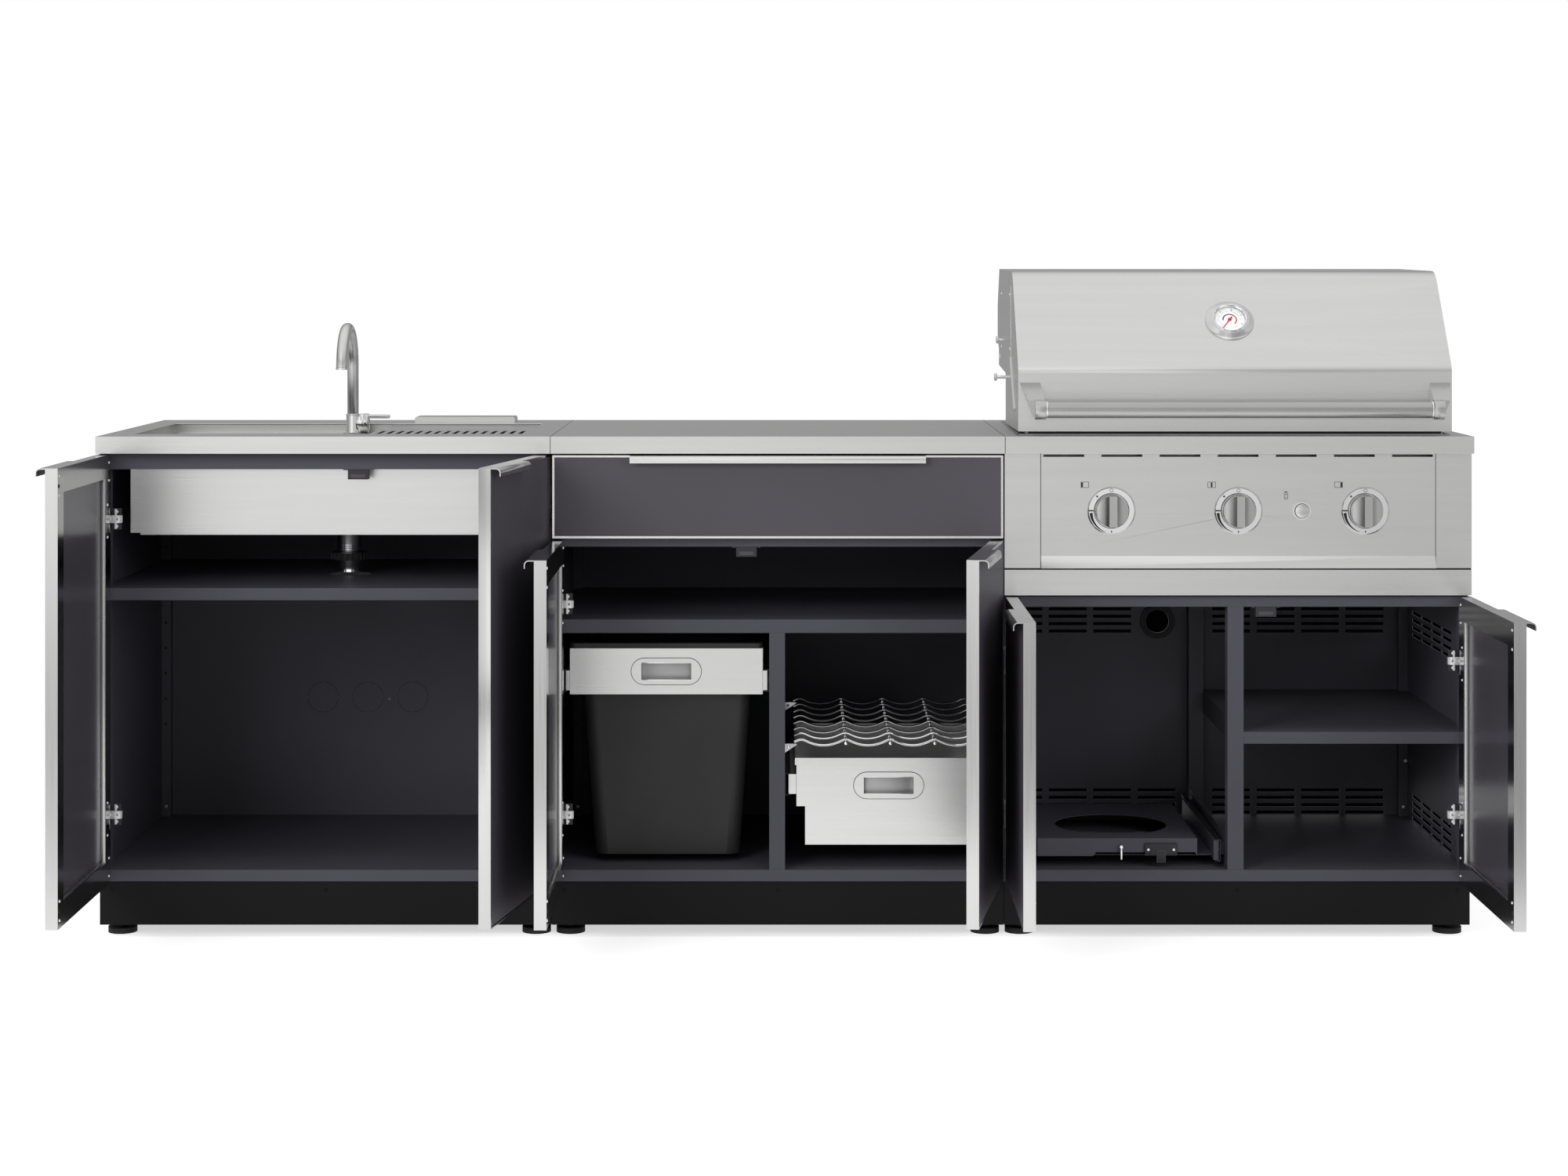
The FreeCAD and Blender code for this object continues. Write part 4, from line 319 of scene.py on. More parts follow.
FINISH = (
    (cabinet_coat, ("sink_cabinet", "bar_cabinet", "grill_cabinet", "shelves", "dividers",
                    "tank_tray")),
    (kick_black, ("toe_kicks",)),
    (rubber, ("leveling_feet", "hose_grommet")),
    (steel, ("sink_counter", "sink_basin", "drain_board", "deck_plate", "bar_counter",
             "grill_counter", "grill_surround", "control_panel", "bin_carriage",
             "lower_drawer", "hood_shell")),
    (steel_bright, ("top_drawer_front",)),
    (steel_dull, ("firebox", "burners", "flame_tamers", "drip_tray")),
    (steel_door, [door + "_shell" for door in DOORS]),
    (slate, ["top_drawer_panel"] + [door + "_panel" for door in DOORS]),
    (slate_dark, ("top_drawer_box",)),
    (chrome, ("sink_drain", "faucet_base", "control_bezels", "wine_rack", "warming_rack")),
    (satin, ("igniter_button", "faucet_spout", "faucet_lever")),
    (satin_grey, ("hood_handle", "knob_left", "knob_centre", "knob_right")),
    (bezel, ("gauge_case",)),
    (lens, ("gauge_lens",)),
    (red, ("gauge_needle",)),
    (plastic, ("door_catches",)),
    (nickel, ("hinge_hardware",)),
    (slide_black, ("fixed_slide_rails",)),
    (cast, ("cooking_grates",)),
    (brass, ("gas_manifold",)),
    (bin_skin, ("waste_bin",)),
)


def dress(name, finish):
    """Gives a CAD node its finish and a fine rounded edge."""
    node = NODES[name]
    node.data.materials.clear()
    node.data.materials.append(finish)
    weld = node.modifiers.new("weld", "WELD")
    weld.merge_threshold = 1e-6
    bevel = node.modifiers.new("edge", "BEVEL")
    bevel.width = EDGE * MM
    bevel.segments = 2
    bevel.limit_method = "ANGLE"
    bevel.angle_limit = math.radians(50)


for node_finish, node_names in FINISH:
    for node_name in node_names:
        dress(node_name, node_finish)


# Pieces added to the CAD nodes


class Piece:
    """Mesh piece drawn in layout millimetres; `place` carries it to the scene."""

    def __init__(self, name, finish, body="island", place=at):
        self.name, self.finish, self.body, self.place = name, finish, body, place
        self.bm = bmesh.new()

    def block(self, x0, x1, y0, y1, z0, z1, edge=0.0):
        """Box, with chamfered edges where an edge is given."""
        part = bmesh.new()
        bmesh.ops.create_cube(part, size=1.0)
        for v in part.verts:
            v.co = Vector((x0 + (v.co.x + 0.5) * (x1 - x0), y0 + (v.co.y + 0.5) * (y1 - y0),
                           z0 + (v.co.z + 0.5) * (z1 - z0)))
        if edge:
            bmesh.ops.bevel(part, geom=part.edges[:], offset=edge, segments=2,
                            affect="EDGES", profile=0.5)
        self.take(part)

    def turned(self, frame_at, profile, steps, arc=(0.0, 360.0)):
        """Revolves (radius, height) points; an arc shorter than a turn stays open."""
        whole = arc[1] - arc[0] >= 360
        part = bmesh.new()
        count = steps if whole else steps + 1
        rings = []
        for k in range(count):
            a = math.radians(arc[0] + (arc[1] - arc[0]) * k / steps)
            rings.append([part.verts.new(frame_at(r * math.cos(a), r * math.sin(a), h))
                          for r, h in profile])
        for k in range(steps):
            one, two = rings[k], rings[(k + 1) % count]
            for i in range(len(profile) - 1):
                part.faces.new((one[i], two[i], two[i + 1], one[i + 1]))
        bmesh.ops.remove_doubles(part, verts=part.verts[:], dist=1e-4)
        self.take(part)

    def slab(self, frame_at, outline, low, high):
        """Raises a flat outline of (a, b) points from one height to another."""
        part = bmesh.new()
        rings = [[part.verts.new(frame_at(a, b, h)) for a, b in outline] for h in (low, high)]
        part.faces.new(rings[0])
        part.faces.new(rings[1])
        for i in range(len(outline)):
            j = (i + 1) % len(outline)
            part.faces.new((rings[0][i], rings[0][j], rings[1][j], rings[1][i]))
        self.take(part)

    def tube(self, points, radius, sides):
        """Round wire along a line of points."""
        part = bmesh.new()
        path = [Vector(p) for p in points]
        turns = [2 * math.pi * k / sides for k in range(sides)]
        rings = []
        for i, p in enumerate(path):
            along = (path[min(i + 1, len(path) - 1)] - path[max(i - 1, 0)]).normalized()
            up = Vector((0, 1, 0)) if abs(along.y) < 0.9 else Vector((0, 0, 1))
            across = along.cross(up).normalized()
            other = along.cross(across)
            rings.append([part.verts.new(p + (across * math.cos(t) + other * math.sin(t)) * radius)
                          for t in turns])
        for one, two in zip(rings, rings[1:]):
            for k in range(sides):
                m = (k + 1) % sides
                part.faces.new((one[k], one[m], two[m], two[k]))
        part.faces.new(rings[0])
        part.faces.new(rings[-1])
        self.take(part)

    def take(self, part):
        """Adds a mesh that is done to the piece."""
        bmesh.ops.recalc_face_normals(part, faces=part.faces[:])
        mesh = bpy.data.meshes.new("part")
        part.to_mesh(mesh)
        part.free()
        self.bm.from_mesh(mesh)
        bpy.data.meshes.remove(mesh)

    def done(self):
        """Places the piece in the scene, on its body."""
        for v in self.bm.verts:
            v.co = self.place(*v.co)
        bmesh.ops.recalc_face_normals(self.bm, faces=self.bm.faces[:])
        mesh = bpy.data.meshes.new(self.name)
        self.bm.to_mesh(mesh)
        self.bm.free()
        mesh.materials.append(self.finish)
        mesh.shade_smooth()
        mesh.set_sharp_from_angle(angle=math.radians(SMOOTH))
        made = bpy.data.objects.new(self.name, mesh)
        bpy.context.scene.collection.objects.link(made)
        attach(made, self.body)
        return made


def facing(direction, x, y, z):
    """Local axes on a face: a and b lie in it, h stands out of it."""
    return {
        "front": lambda a, b, h: Vector((x + a, y - h, z + b)),
        "back": lambda a, b, h: Vector((x - a, y + h, z + b)),
        "right": lambda a, b, h: Vector((x + h, y + a, z + b)),
        "left": lambda a, b, h: Vector((x - h, y - a, z + b)),
        "top": lambda a, b, h: Vector((x + a, y + b, z + h)),
        "under": lambda a, b, h: Vector((x + a, y - b, z - h)),
    }[direction]


def screw(piece, direction, x, y, z, r):
    """Domed head with a round socket."""
    piece.turned(facing(direction, x, y, z),
                 [(0, 0.25 * r), (0.34 * r, 0.25 * r), (0.4 * r, 0.55 * r), (0.7 * r, 0.5 * r),
                  (0.95 * r, 0.3 * r), (r, 0.0)], 14)


def hexagon(piece, frame_at, r, height):
    """Six-sided head or nut with a chamfered crown."""
    piece.turned(frame_at, [(0, height), (r * 0.8, height), (r, height * 0.8), (r, 0)], 6)


def flat_ring(piece, frame_at, r_in, r_out, height, steps, arc=(0.0, 360.0)):
    """Thin raised ring, or a part of one."""
    piece.turned(frame_at, [(r_in, 0.0), (r_in, height), (r_out, height), (r_out, 0.0)],
                 steps, arc)


def polar(r, degrees):
    return r * math.cos(math.radians(degrees)), r * math.sin(math.radians(degrees))


def span(edge, side, near, far):
    """The low and high X of a part that lies near to far from an edge."""
    return sorted((edge + side * near, edge + side * far))


# Doors: drawn closed, hinge edge at u = 0, then carried to the open door


def door_place(edge, side, degrees):
    """Turns places on the closed door about its pin."""
    a = math.radians(degrees)

    def place(u, y, z):
        du, dy = u - PIVOT_U, y - PIVOT_Y
        x = du * math.cos(a) + dy * math.sin(a)
        return at(edge + side * (DOOR_GAP + PIVOT_U + x),
                  PIVOT_Y - du * math.sin(a) + dy * math.cos(a), z)
    return place


def door_details(name):
    edge, side, degrees, w, top = DOORS[name]
    place = door_place(edge, side, degrees)
    low, inner = DOOR_LOW, w - BORDER
    screws = Piece(name + "_screws", chrome, name, place)
    for u in (13.0, w - 13.0):
        for z in (low + 14, low + 46, top - 46, top - 14):
            screw(screws, "back", u, DOOR_BACK, z, 2.6)
    for zc in (low + HINGE_END, top - HINGE_END):
        for z in (zc - 29, zc + 29):
            screw(screws, "back", 25.0, DOOR_BACK, z, 2.6)
    screws.done()
    z0, z1 = low + BORDER, top - BORDER
    trim = Piece(name + "_moulding", satin, name, place)
    trim.block(BORDER, BORDER + TRIM, *TRIM_Y, z0, z1, 0.5)
    trim.block(BORDER + TRIM + 0.1, inner, *TRIM_Y, z0, z0 + TRIM, 0.5)
    trim.done()
    sheet = Piece(name + "_inner_sheet", sheet_gloss, name, place)
    sheet.block(BORDER + TRIM + 0.1, inner - 0.1, *SHEET_Y, z0 + TRIM + 0.1, z1 - 0.1)
    sheet.done()
    seal = Piece(name + "_seal", rubber, name, place)
    seal.block(BORDER + 3.4, inner - 0.2, *SEAL_Y, z1 - 2.2, z1 - 0.2, 0.3)
    seal.block(inner - 2.4, inner - 0.2, *SEAL_Y, z0 + 3.4, z1 - 2.4, 0.3)
    seal.done()
    stop = Piece(name + "_bumpers", rubber, name, place)
    for z in (low + 30, top - 30):
        stop.turned(facing("back", w - 8.0, DOOR_BACK, z),
                    [(0, 1.4), (2.6, 1.1), (3.4, 0.4), (3.6, 0)], 14)
    stop.done()
    line = Piece(name + "_pull_seam", ink, name, place)
    line.block(w - PULL_LONG, w - 0.4, DOOR_FRONT - 0.35, DOOR_FRONT - 0.05,
               top - 2.5, top - 2.1)
    line.done()


# Hinges: a cover plate with its screws, an upright bar and a dark base plate


def hinge_details():
    bright = Piece("hinge_screws", nickel)
    dark = Piece("hinge_plates", plastic)
    for edge, side, _, _, top in DOORS.values():
        for zc in (DOOR_LOW + HINGE_END, top - HINGE_END):
            dark.block(*span(edge, side, 20.0, 37.0), 46.1, 49.6, zc - 19, zc + 19, 0.6)
            for z in (zc - 13, zc + 13):
                screw(bright, "front", edge + side * 28.5, 46.1, z, 3.0)
            for u, r in ((18.0, 2.6), (32.0, 3.2)):
                screw(bright, "front", edge + side * u, 38.0, zc, r)
            bright.block(*span(edge, side, 17.0, 35.5), 37.2, 38.2, zc - 7, zc + 7, 0.4)
            bright.block(*span(edge, side, 25.0, 29.0), 43.0, 46.0, zc - 18, zc + 18, 0.6)
    bright.done()
    dark.done()


# Cabinets


def pin_holes():
    """Rows of holes for shelf pins, left out where a shelf covers them."""
    holes = Piece("shelf_pin_holes", ink)
    rim = [(0, 0.05), (2.2, 0.05), (2.5, 0.3), (2.9, 0.0)]
    for edge, side, count in ((X_SINK, 1, 9), (X_BAR, -1, 9), (X_BAR, 1, 5), (X_GRILL, -1, 5)):
        for z in (303.0 + 50.0 * i for i in range(count)):
            if all(abs(z - shelf) > 14 for shelf in SHELVES_Z):
                holes.turned(facing("front", edge + side * 8.5, STILE_Y, z), rim, 12)
                holes.turned(facing("front", edge + side * 9.5, POST_Y, z), rim, 12)
    holes.done()


def cabinet_details():
    pin_holes()
    bolts = Piece("cabinet_bolts", zinc)
    for (x0, x1), top in zip(MODULES, (850, 850, 590)):
        for x in (x0 + SIDE_IN + 9, x1 - SIDE_IN - 9):
            for z in (140, top):
                hexagon(bolts, facing("front", x, POST_Y, z), 3.6, 2.2)
    hexagon(bolts, facing("front", 1225.0, POST_Y, 231.0), 4.0, 4.5)
    bolts.done()
    gaps = Piece("drawer_gap_seals", rubber)
    seal_y = (RAIL_Y - 2.0, RAIL_Y - 0.1)
    top = COUNTER_LOW - 0.4
    for x in (X_BAR + 1.6, X_GRILL - 1.6):
        gaps.block(x - 1.2, x + 1.2, *seal_y, DRAWER_LOW, top, 0.2)
    gaps.block(X_BAR + 3.0, X_GRILL - 3.0, *seal_y, top - 2.2, top, 0.2)
    gaps.done()
    seams = Piece("cabinet_seams", ink)
    for x in (X_BAR, X_GRILL):
        seams.block(x - 0.35, x + 0.35, RAIL_Y + 1.5, BACK_IN, DOOR_LOW, COUNTER_LOW - 1.0)
    seams.done()
    kick = Piece("kick_screws", kick_black)
    for x0, x1 in MODULES:
        for x in (x0 + 22, (x0 + x1) / 2, x1 - 22):
            screw(kick, "front", x, RAIL_Y, 84.0, 3.4)
    kick.done()
    # Black rubber strips behind the gap above each toe kick: painted shade where the gap would let
    # light through
    seal = Piece("kick_gap_painted_shade", rubber)
    for x0, x1 in MODULES:
        seal.block(x0 + 3, x1 - 3, RAIL_Y + 1.8, RAIL_Y + 3.4, 92.0, 100.0, 0.3)
    seal.done()
    nuts = Piece("foot_nuts", zinc)
    for x0, x1 in MODULES:
        for x in (x0 + FOOT_IN, x1 - FOOT_IN):
            for y in FOOT_Y:
                hexagon(nuts, facing("top", x, y, 16.4), 9.5, 5.4)
    nuts.done()


def knockout_details():
    """Dark cut lines around the knock-outs, and the bright rivet beside them."""
    lines = Piece("knockout_lines", ink)
    for i in (-1, 0, 1):
        face = facing("front", KNOCKOUT_X + KNOCKOUT_PITCH * i, BACK_IN, KNOCKOUT_Z)
        for k in range(4):
            flat_ring(lines, face, 29.4, 30.5, 0.1, 16, (8.0 + 90.0 * k, 82.0 + 90.0 * k))
    lines.done()
    dot = Piece("knockout_rivet", satin)
    dot.turned(facing("front", -783.0, BACK_IN, 350.0), [(0, 0.4), (0.9, 0.3), (1.4, 0)], 12)
    dot.done()


# Slides: a bright steel ball cage and a dark stop at the open end of each


def slide_details():
    cages = Piece("slide_cages", zinc)
    caps = Piece("slide_stops", plastic)
    for web, side, z, y in SLIDES:
        for s in (-1, 1):
            zs = sorted((z + s * 18.35, z + s * 18.45))
            cages.block(*span(web, side, 1.6, 5.0), y + 1.0, y + 70.0, *zs)
        caps.block(*span(web, side, 1.55, 1.75), y + 0.5, y + 18.0, z - 9.0, z + 9.0)
        rivet = facing("right" if side > 0 else "left", web + side * 1.75, y + 9.0, z)
        cages.turned(rivet, [(0, 0.45), (1.6, 0.4), (2.2, 0.15), (2.3, 0)], 14)
    cages.done()
    caps.done()


# Control panel


def rotated(outline, degrees, scale=1.0, shift=(0.0, 0.0)):
    c, s = math.cos(math.radians(degrees)) * scale, math.sin(math.radians(degrees)) * scale
    return [(a * c - b * s + shift[0], a * s + b * c + shift[1]) for a, b in outline]


def band(r_out, start, end, wide, narrow, steps=16):
    """Curved band that narrows from its start to its end."""
    outer, inner = [], []
    for k in range(steps + 1):
        t = k / steps
        angle = start + (end - start) * t
        outer.append(polar(r_out, angle))
        inner.append(polar(r_out - wide + (wide - narrow) * t, angle))
    return outer + inner[::-1]


FLAME = [(0, -1), (0.5, -0.85), (0.75, -0.35), (0.55, 0.1), (0.32, 0.0), (0.22, 0.5),
         (0.0, 1.1), (-0.3, 0.55), (-0.32, 0.15), (-0.5, 0.3), (-0.75, -0.3), (-0.5, -0.85)]


def star(points, r_out, r_in):
    return [polar(r_out if k % 2 == 0 else r_in, 180.0 * k / points) for k in range(2 * points)]


def rectangle(x, z, w, h):
    return [(x - w / 2, z - h / 2), (x + w / 2, z - h / 2), (x + w / 2, z + h / 2),
            (x - w / 2, z + h / 2)]


def outline_box(piece, face, x, z, w, h):
    line = 0.8
    for dx, dz, lw, lh in ((0, (h - line) / 2, w, line), (0, (line - h) / 2, w, line),
                           ((w - line) / 2, 0, line, h - 2 * line),
                           ((line - w) / 2, 0, line, h - 2 * line)):
        piece.slab(face, rectangle(x + dx, z + dz, lw, lh), 0.0, MARK)


def dial_marks():
    """Off ring, spark, high flame, narrowing sweep and low flame on each bezel."""
    marks = Piece("dial_marks", ink)
    for _, x in KNOBS:
        face = facing("front", x, BEZEL_Y, KNOB_Z)
        flat_ring(marks, facing("front", x, BEZEL_Y, KNOB_Z + MARK_R), 2.5, 3.3, MARK, 20)
        shapes = [rotated(star(6, 3.0, 1.2), 10, 1.0, polar(MARK_R, 135))]
        shapes += [rotated(FLAME, 0, 1.9, (-40.2 + 2.3 * k, 0.6)) for k in range(4)]
        shapes += [rotated(FLAME, 0, 2.0, polar(37.0, 270)), band(39.6, 186, 256, 5.6, 0.4)]
        for shape in shapes:
            marks.slab(face, shape, 0.0, MARK)
    marks.done()
    signs = Piece("burner_signs", ink)
    face = facing("front", 0.0, PANEL_Y, 0.0)
    for k, (_, x) in enumerate(KNOBS):
        cx, cz = x - 47.5, KNOB_Z + 46.4
        outline_box(signs, face, cx, cz, 14.6, 10.6)
        signs.slab(face, rectangle(cx + (k - 1) * 4.9, cz, 3.0, 8.4), 0.0, MARK)
    cx, cz = IGNITER_X - 27.7, KNOB_Z + 26.8
    outline_box(signs, face, cx, cz, 6.6, 12.6)
    for dz, w, h in ((7.0, 3.0, 1.6), (2.4, 3.0, 0.8), (2.4, 0.8, 3.0), (-3.0, 3.0, 0.8)):
        signs.slab(face, rectangle(cx, cz + dz, w, h), 0.0, MARK)
    signs.done()


def knob_details():
    """Scooped cheeks and a dark ring of painted shade round each knob's rim, a cap on the button,
    and a ring of painted shade in the gap round it.
    """
    for name, x in KNOBS:
        scoop = Piece(name + "_cheeks", satin_grey, name)
        for side in (-1, 1):
            scoop.take(cheek(x, side))
        scoop.done()
        # Dark ring round the knob's rim: painted shade
        shade = Piece(name + "_rim_painted_shade", ink, name)
        shade.turned(facing("front", x, 9.0, KNOB_Z),
                     [(28.7, 0.0), (29.2, 0.0), (29.2, 3.0), (28.7, 3.0)], 64)
        shade.done()
    cap = Piece("igniter_cap", satin, "igniter_button")
    cap.turned(facing("front", IGNITER_X, 10.0, KNOB_Z),
               [(0, 0.9), (6.0, 0.8), (9.0, 0.5), (11.0, 0.15), (11.6, 0.0)], 32)
    cap.done()
    # Dark ring in the gap round the button: painted shade
    gap_shade = Piece("igniter_gap_painted_shade", ink)
    flat_ring(gap_shade, facing("front", IGNITER_X, 13.0, KNOB_Z), *BUTTON_GAP_SHADE, 0.1, 48)
    gap_shade.done()


def cheek(x, side):
    """Concave fill between the disc's rim and the grip on one side of a knob."""
    part = bmesh.new()
    across, along = 10, 12
    reach = KNOB_R - 0.7
    rows = []
    for i in range(across + 1):
        t = i / across
        u = GRIP_HALF + (reach - GRIP_HALF) * t
        rise = 11.5 * (1 - t) ** 2.2 + 0.25
        half = math.sqrt(max(0.0, reach ** 2 - u ** 2))
        rows.append([(x + side * u, -rise, KNOB_Z - half + 2 * half * k / along)
                     for k in range(along + 1)])
    tops = [[part.verts.new(p) for p in row] for row in rows]
    feet = [[part.verts.new((p[0], 0.3, p[2])) for p in row] for row in rows]
    for one in (tops, feet):
        for i in range(across):
            for k in range(along):
                part.faces.new((one[i][k], one[i + 1][k], one[i + 1][k + 1], one[i][k + 1]))
    for i in range(across):
        for k in (0, along):
            part.faces.new((tops[i][k], tops[i + 1][k], feet[i + 1][k], feet[i][k]))
    for k in range(along):
        part.faces.new((tops[0][k], tops[0][k + 1], feet[0][k + 1], feet[0][k]))
    bmesh.ops.remove_doubles(part, verts=part.verts[:], dist=1e-4)
    return part


def panel_details():
    edges = Piece("panel_seams", ink)
    low, high = 665.5, COUNTER_LOW - 1.0
    for x in (X_GRILL + PILLAR, X_END - PILLAR):
        edges.block(x - 0.18, x + 0.18, PANEL_Y + 1.5, 40.0, low, high)
        edges.block(x - 0.6, x + 0.6, PANEL_Y - 0.1, PANEL_Y - 0.02, low, high)
    edges.block(X_GRILL + 1, X_END - 1, PANEL_Y + 0.9, PANEL_Y + 1.4, low - 3.8, low - 0.7)
    edges.done()


# Temperature gauge


def on_slope():
    """Face of the gauge, on the slope of the hood."""
    (y0, z0), (y1, z1) = SLOPE_LOW, SLOPE_HIGH
    n = math.hypot(y1 - y0, z1 - z0)
    ty, tz = (y1 - y0) / n, (z1 - z0) / n
    y, z = y0 + GAUGE_ALONG * (y1 - y0), z0 + GAUGE_ALONG * (z1 - z0)
    return lambda a, b, h: Vector((GRILL_X + a, y + b * ty - h * tz, z + b * tz + h * ty))


def gauge_details():
    face = on_slope()
    low, high = DIAL_H, DIAL_H + DIAL_INK
    dial = Piece("gauge_dial", white, "hood")
    dial.turned(face, [(0, DIAL_H), (28.4, DIAL_H), (28.8, DIAL_H - 0.2)], 64)
    dial.done()
    black = Piece("gauge_scale", ink, "hood")
    for k in range(41):
        angle = SCALE_START - 6.5 * k
        long = 2.6 if k % 8 == 0 else 1.3
        tick = [(28.0 - long, -0.16), (28.0, -0.16), (28.0, 0.16), (28.0 - long, 0.16)]
        black.slab(face, rotated(tick, angle), low, high)
    for r, line in ((28.3, 0.25), (19.7, 0.3)):
        black.turned(face, [(r - line, low), (r - line, high), (r, high), (r, low)], 64)
    black.slab(face, band(ARC_R, 186, ARC_HOT, ARC_WIDE, ARC_WIDE, 24), low, high)
    for number in range(6):
        digit(black, face, *polar(23.2, SCALE_START - 52.0 * number), number)
    black.done()
    hot = Piece("gauge_hot_band", red, "hood")
    hot.slab(face, band(ARC_R, ARC_HOT, -50, ARC_WIDE, ARC_WIDE, 24), low, high)
    hot.done()
    hub = Piece("gauge_hub", red, "gauge_needle")
    hub.turned(face, [(0, 6.6), (1.4, 6.4), (2.2, 5.9), (2.5, 5.2), (2.5, 4.6)], 24)
    hub.done()
    bead = Piece("gauge_rim_lines", chrome, "hood")
    for r, h in ((43.0, 2.9), (34.0, 9.2)):
        bead.turned(face, [(r - 0.5, h - 0.6), (r - 0.2, h + 0.25), (r + 0.2, h + 0.25),
                           (r + 0.5, h - 0.6)], 64)
    bead.done()


# Strokes of the scale numbers 0 to 5, lettered as on a seven-stroke display
STROKES = ("abcdef", "bc", "abged", "abgcd", "fgbc", "afgcd")


def digit(piece, face, x, z, number):
    """Small scale number drawn with straight strokes."""
    w, h, t = 2.2, 3.4, 0.42
    strokes = {"a": (0, h / 2, w, t), "g": (0, 0, w, t), "d": (0, -h / 2, w, t),
               "b": (w / 2, h / 4, t, h / 2), "c": (w / 2, -h / 4, t, h / 2),
               "f": (-w / 2, h / 4, t, h / 2), "e": (-w / 2, -h / 4, t, h / 2)}
    for key in STROKES[number]:
        dx, dz, lw, lh = strokes[key]
        piece.slab(face, rectangle(x + dx, z + dz, lw, lh), DIAL_H, DIAL_H + DIAL_INK)


# Hood and firebox


def thumb_screw(piece, y, z, out):
    """Knurled head on a shank that stands out of the hood's left side."""
    piece.turned(facing("left", HOOD_SIDE, y, z),
                 [(0, out + 0.4), (5.2, out + 0.3), (6.4, out - 0.6), (6.9, out - 1.2),
                  (6.9, out - 4.2), (6.2, out - 5.2), (3.2, out - 5.2), (3.2, 0.8)], 20)
    for k in range(16):
        a, b = polar(6.9, 22.5 * k)
        piece.turned(facing("left", HOOD_SIDE, y - a, z + b),
                     [(0, out - 1.3), (0.5, out - 1.5), (0.5, out - 4.0), (0, out - 4.2)], 6)


def hood_details():
    screws = Piece("hood_thumb_screws", chrome, "hood")
    thumb_screw(screws, 468.0, 1064.0, 11.4)
    thumb_screw(screws, 322.0, 997.0, 25.0)
    for y in (250.0, 466.0):
        for z in (1052.0, 1154.0):
            screw(screws, "left", HOOD_SIDE - 0.8, y, z, 2.8)
    screws.done()
    sleeve = Piece("handle_sleeve", satin_handle, "hood")
    r = HANDLE_R + 0.06
    sleeve.turned(facing("right", GRILL_X, HANDLE_Y, HANDLE_Z),
                  [(r, -HANDLE_HALF), (r, 0.0), (r, HANDLE_HALF)], 96)
    sleeve.done()
    grip = Piece("handle_rings", chrome, "hood")
    for way in (-1, 1):
        grip.turned(facing("right", GRILL_X + way * (HANDLE_HALF + 1.8), HANDLE_Y, HANDLE_Z),
                    [(14.9, -1.6), (15.7, -1.2), (15.9, 0.0), (15.7, 1.2), (14.9, 1.6)], 40)
    grip.done()
    caps = Piece("handle_end_caps", satin, "hood")
    for side, way in (("left", -1), ("right", 1)):
        caps.turned(facing(side, GRILL_X + way * (HANDLE_HALF + 23.0), HANDLE_Y, HANDLE_Z),
                    [(0, 1.2), (10.0, 1.0), (14.0, 0.5), (16.0, 0.0)], 32)
    caps.done()


def on_burner(x, y, side):
    """Face of a port on the shoulder of a burner tube."""
    dx, dz = polar(PORT_R, 90 - side * PORT_TILT)
    c, s = math.cos(math.radians(PORT_TILT)), side * math.sin(math.radians(PORT_TILT))
    z = BURNER_Z + dz
    return lambda a, b, h: Vector((x + dx + a * c + h * s, y + b, z - a * s + h * c))


def burner_details():
    ports = Piece("burner_ports", ink)
    tips = Piece("spark_tips", white)
    for _, x in KNOBS:
        for k in range(22):
            for side in (-1, 1):
                face = on_burner(x, 110.0 + 15.5 * k, side)
                ports.turned(face, [(0, 0.08), (1.1, 0.08), (1.3, 0.0)], 8)
        tips.tube([(x + 24, 71, 826), (x + 24, 96, 826)], 2.4, 10)
        tips.tube([(x + 24, 96, 826), (x + 22, 102, 829), (x + 12, 108, 832)], 0.8, 6)
    ports.done()
    tips.done()
    # Black rubber strip on the counter under the hood's front edge: painted shade that fills the
    # gap between hood and counter
    hood_gap_shade = Piece("hood_gap_painted_shade", rubber)
    hood_gap_shade.block(FIREBOX_X[0] + 4.0, FIREBOX_X[1] - 4.0, 63.0, 69.8, 903.4, 913.0, 1.0)
    hood_gap_shade.done()
    bolts = Piece("firebox_bolts", zinc)
    for z in (730.0, 860.0):
        for y in (100.0, 300.0, 490.0):
            for side, x in zip(("left", "right"), FIREBOX_X):
                hexagon(bolts, facing(side, x, y, z), 4.5, 3.0)
    bolts.done()


# Bottle rack, drawn round to stand for the square wires of the CAD node

RACK_X = (17.0, 358.0)
RACK_Z, RACK_RISE = 352.75, 1.3
RACK_PITCH = (RACK_X[1] - RACK_X[0]) / 4.247
RACK_FIRST = RACK_X[0] + 1.158 * RACK_PITCH
RACK_SAG, CREST_HALF = 10.0, 8.15
WIRE_R, ROD_R = 2.25, 3.0


def wave_height(x):
    """Height of a wire at X, measured from its crests."""
    half = RACK_PITCH / 2
    lean = 2 * math.atan(RACK_SAG / half)
    crest, cradle = CREST_HALF / math.sin(lean), (half - CREST_HALF) / math.sin(lean)
    u = abs((x - RACK_FIRST + half) % RACK_PITCH - half)
    if u <= CREST_HALF:
        return math.sqrt(crest ** 2 - u ** 2) - crest
    return cradle - math.sqrt(cradle ** 2 - (half - u) ** 2) - RACK_SAG


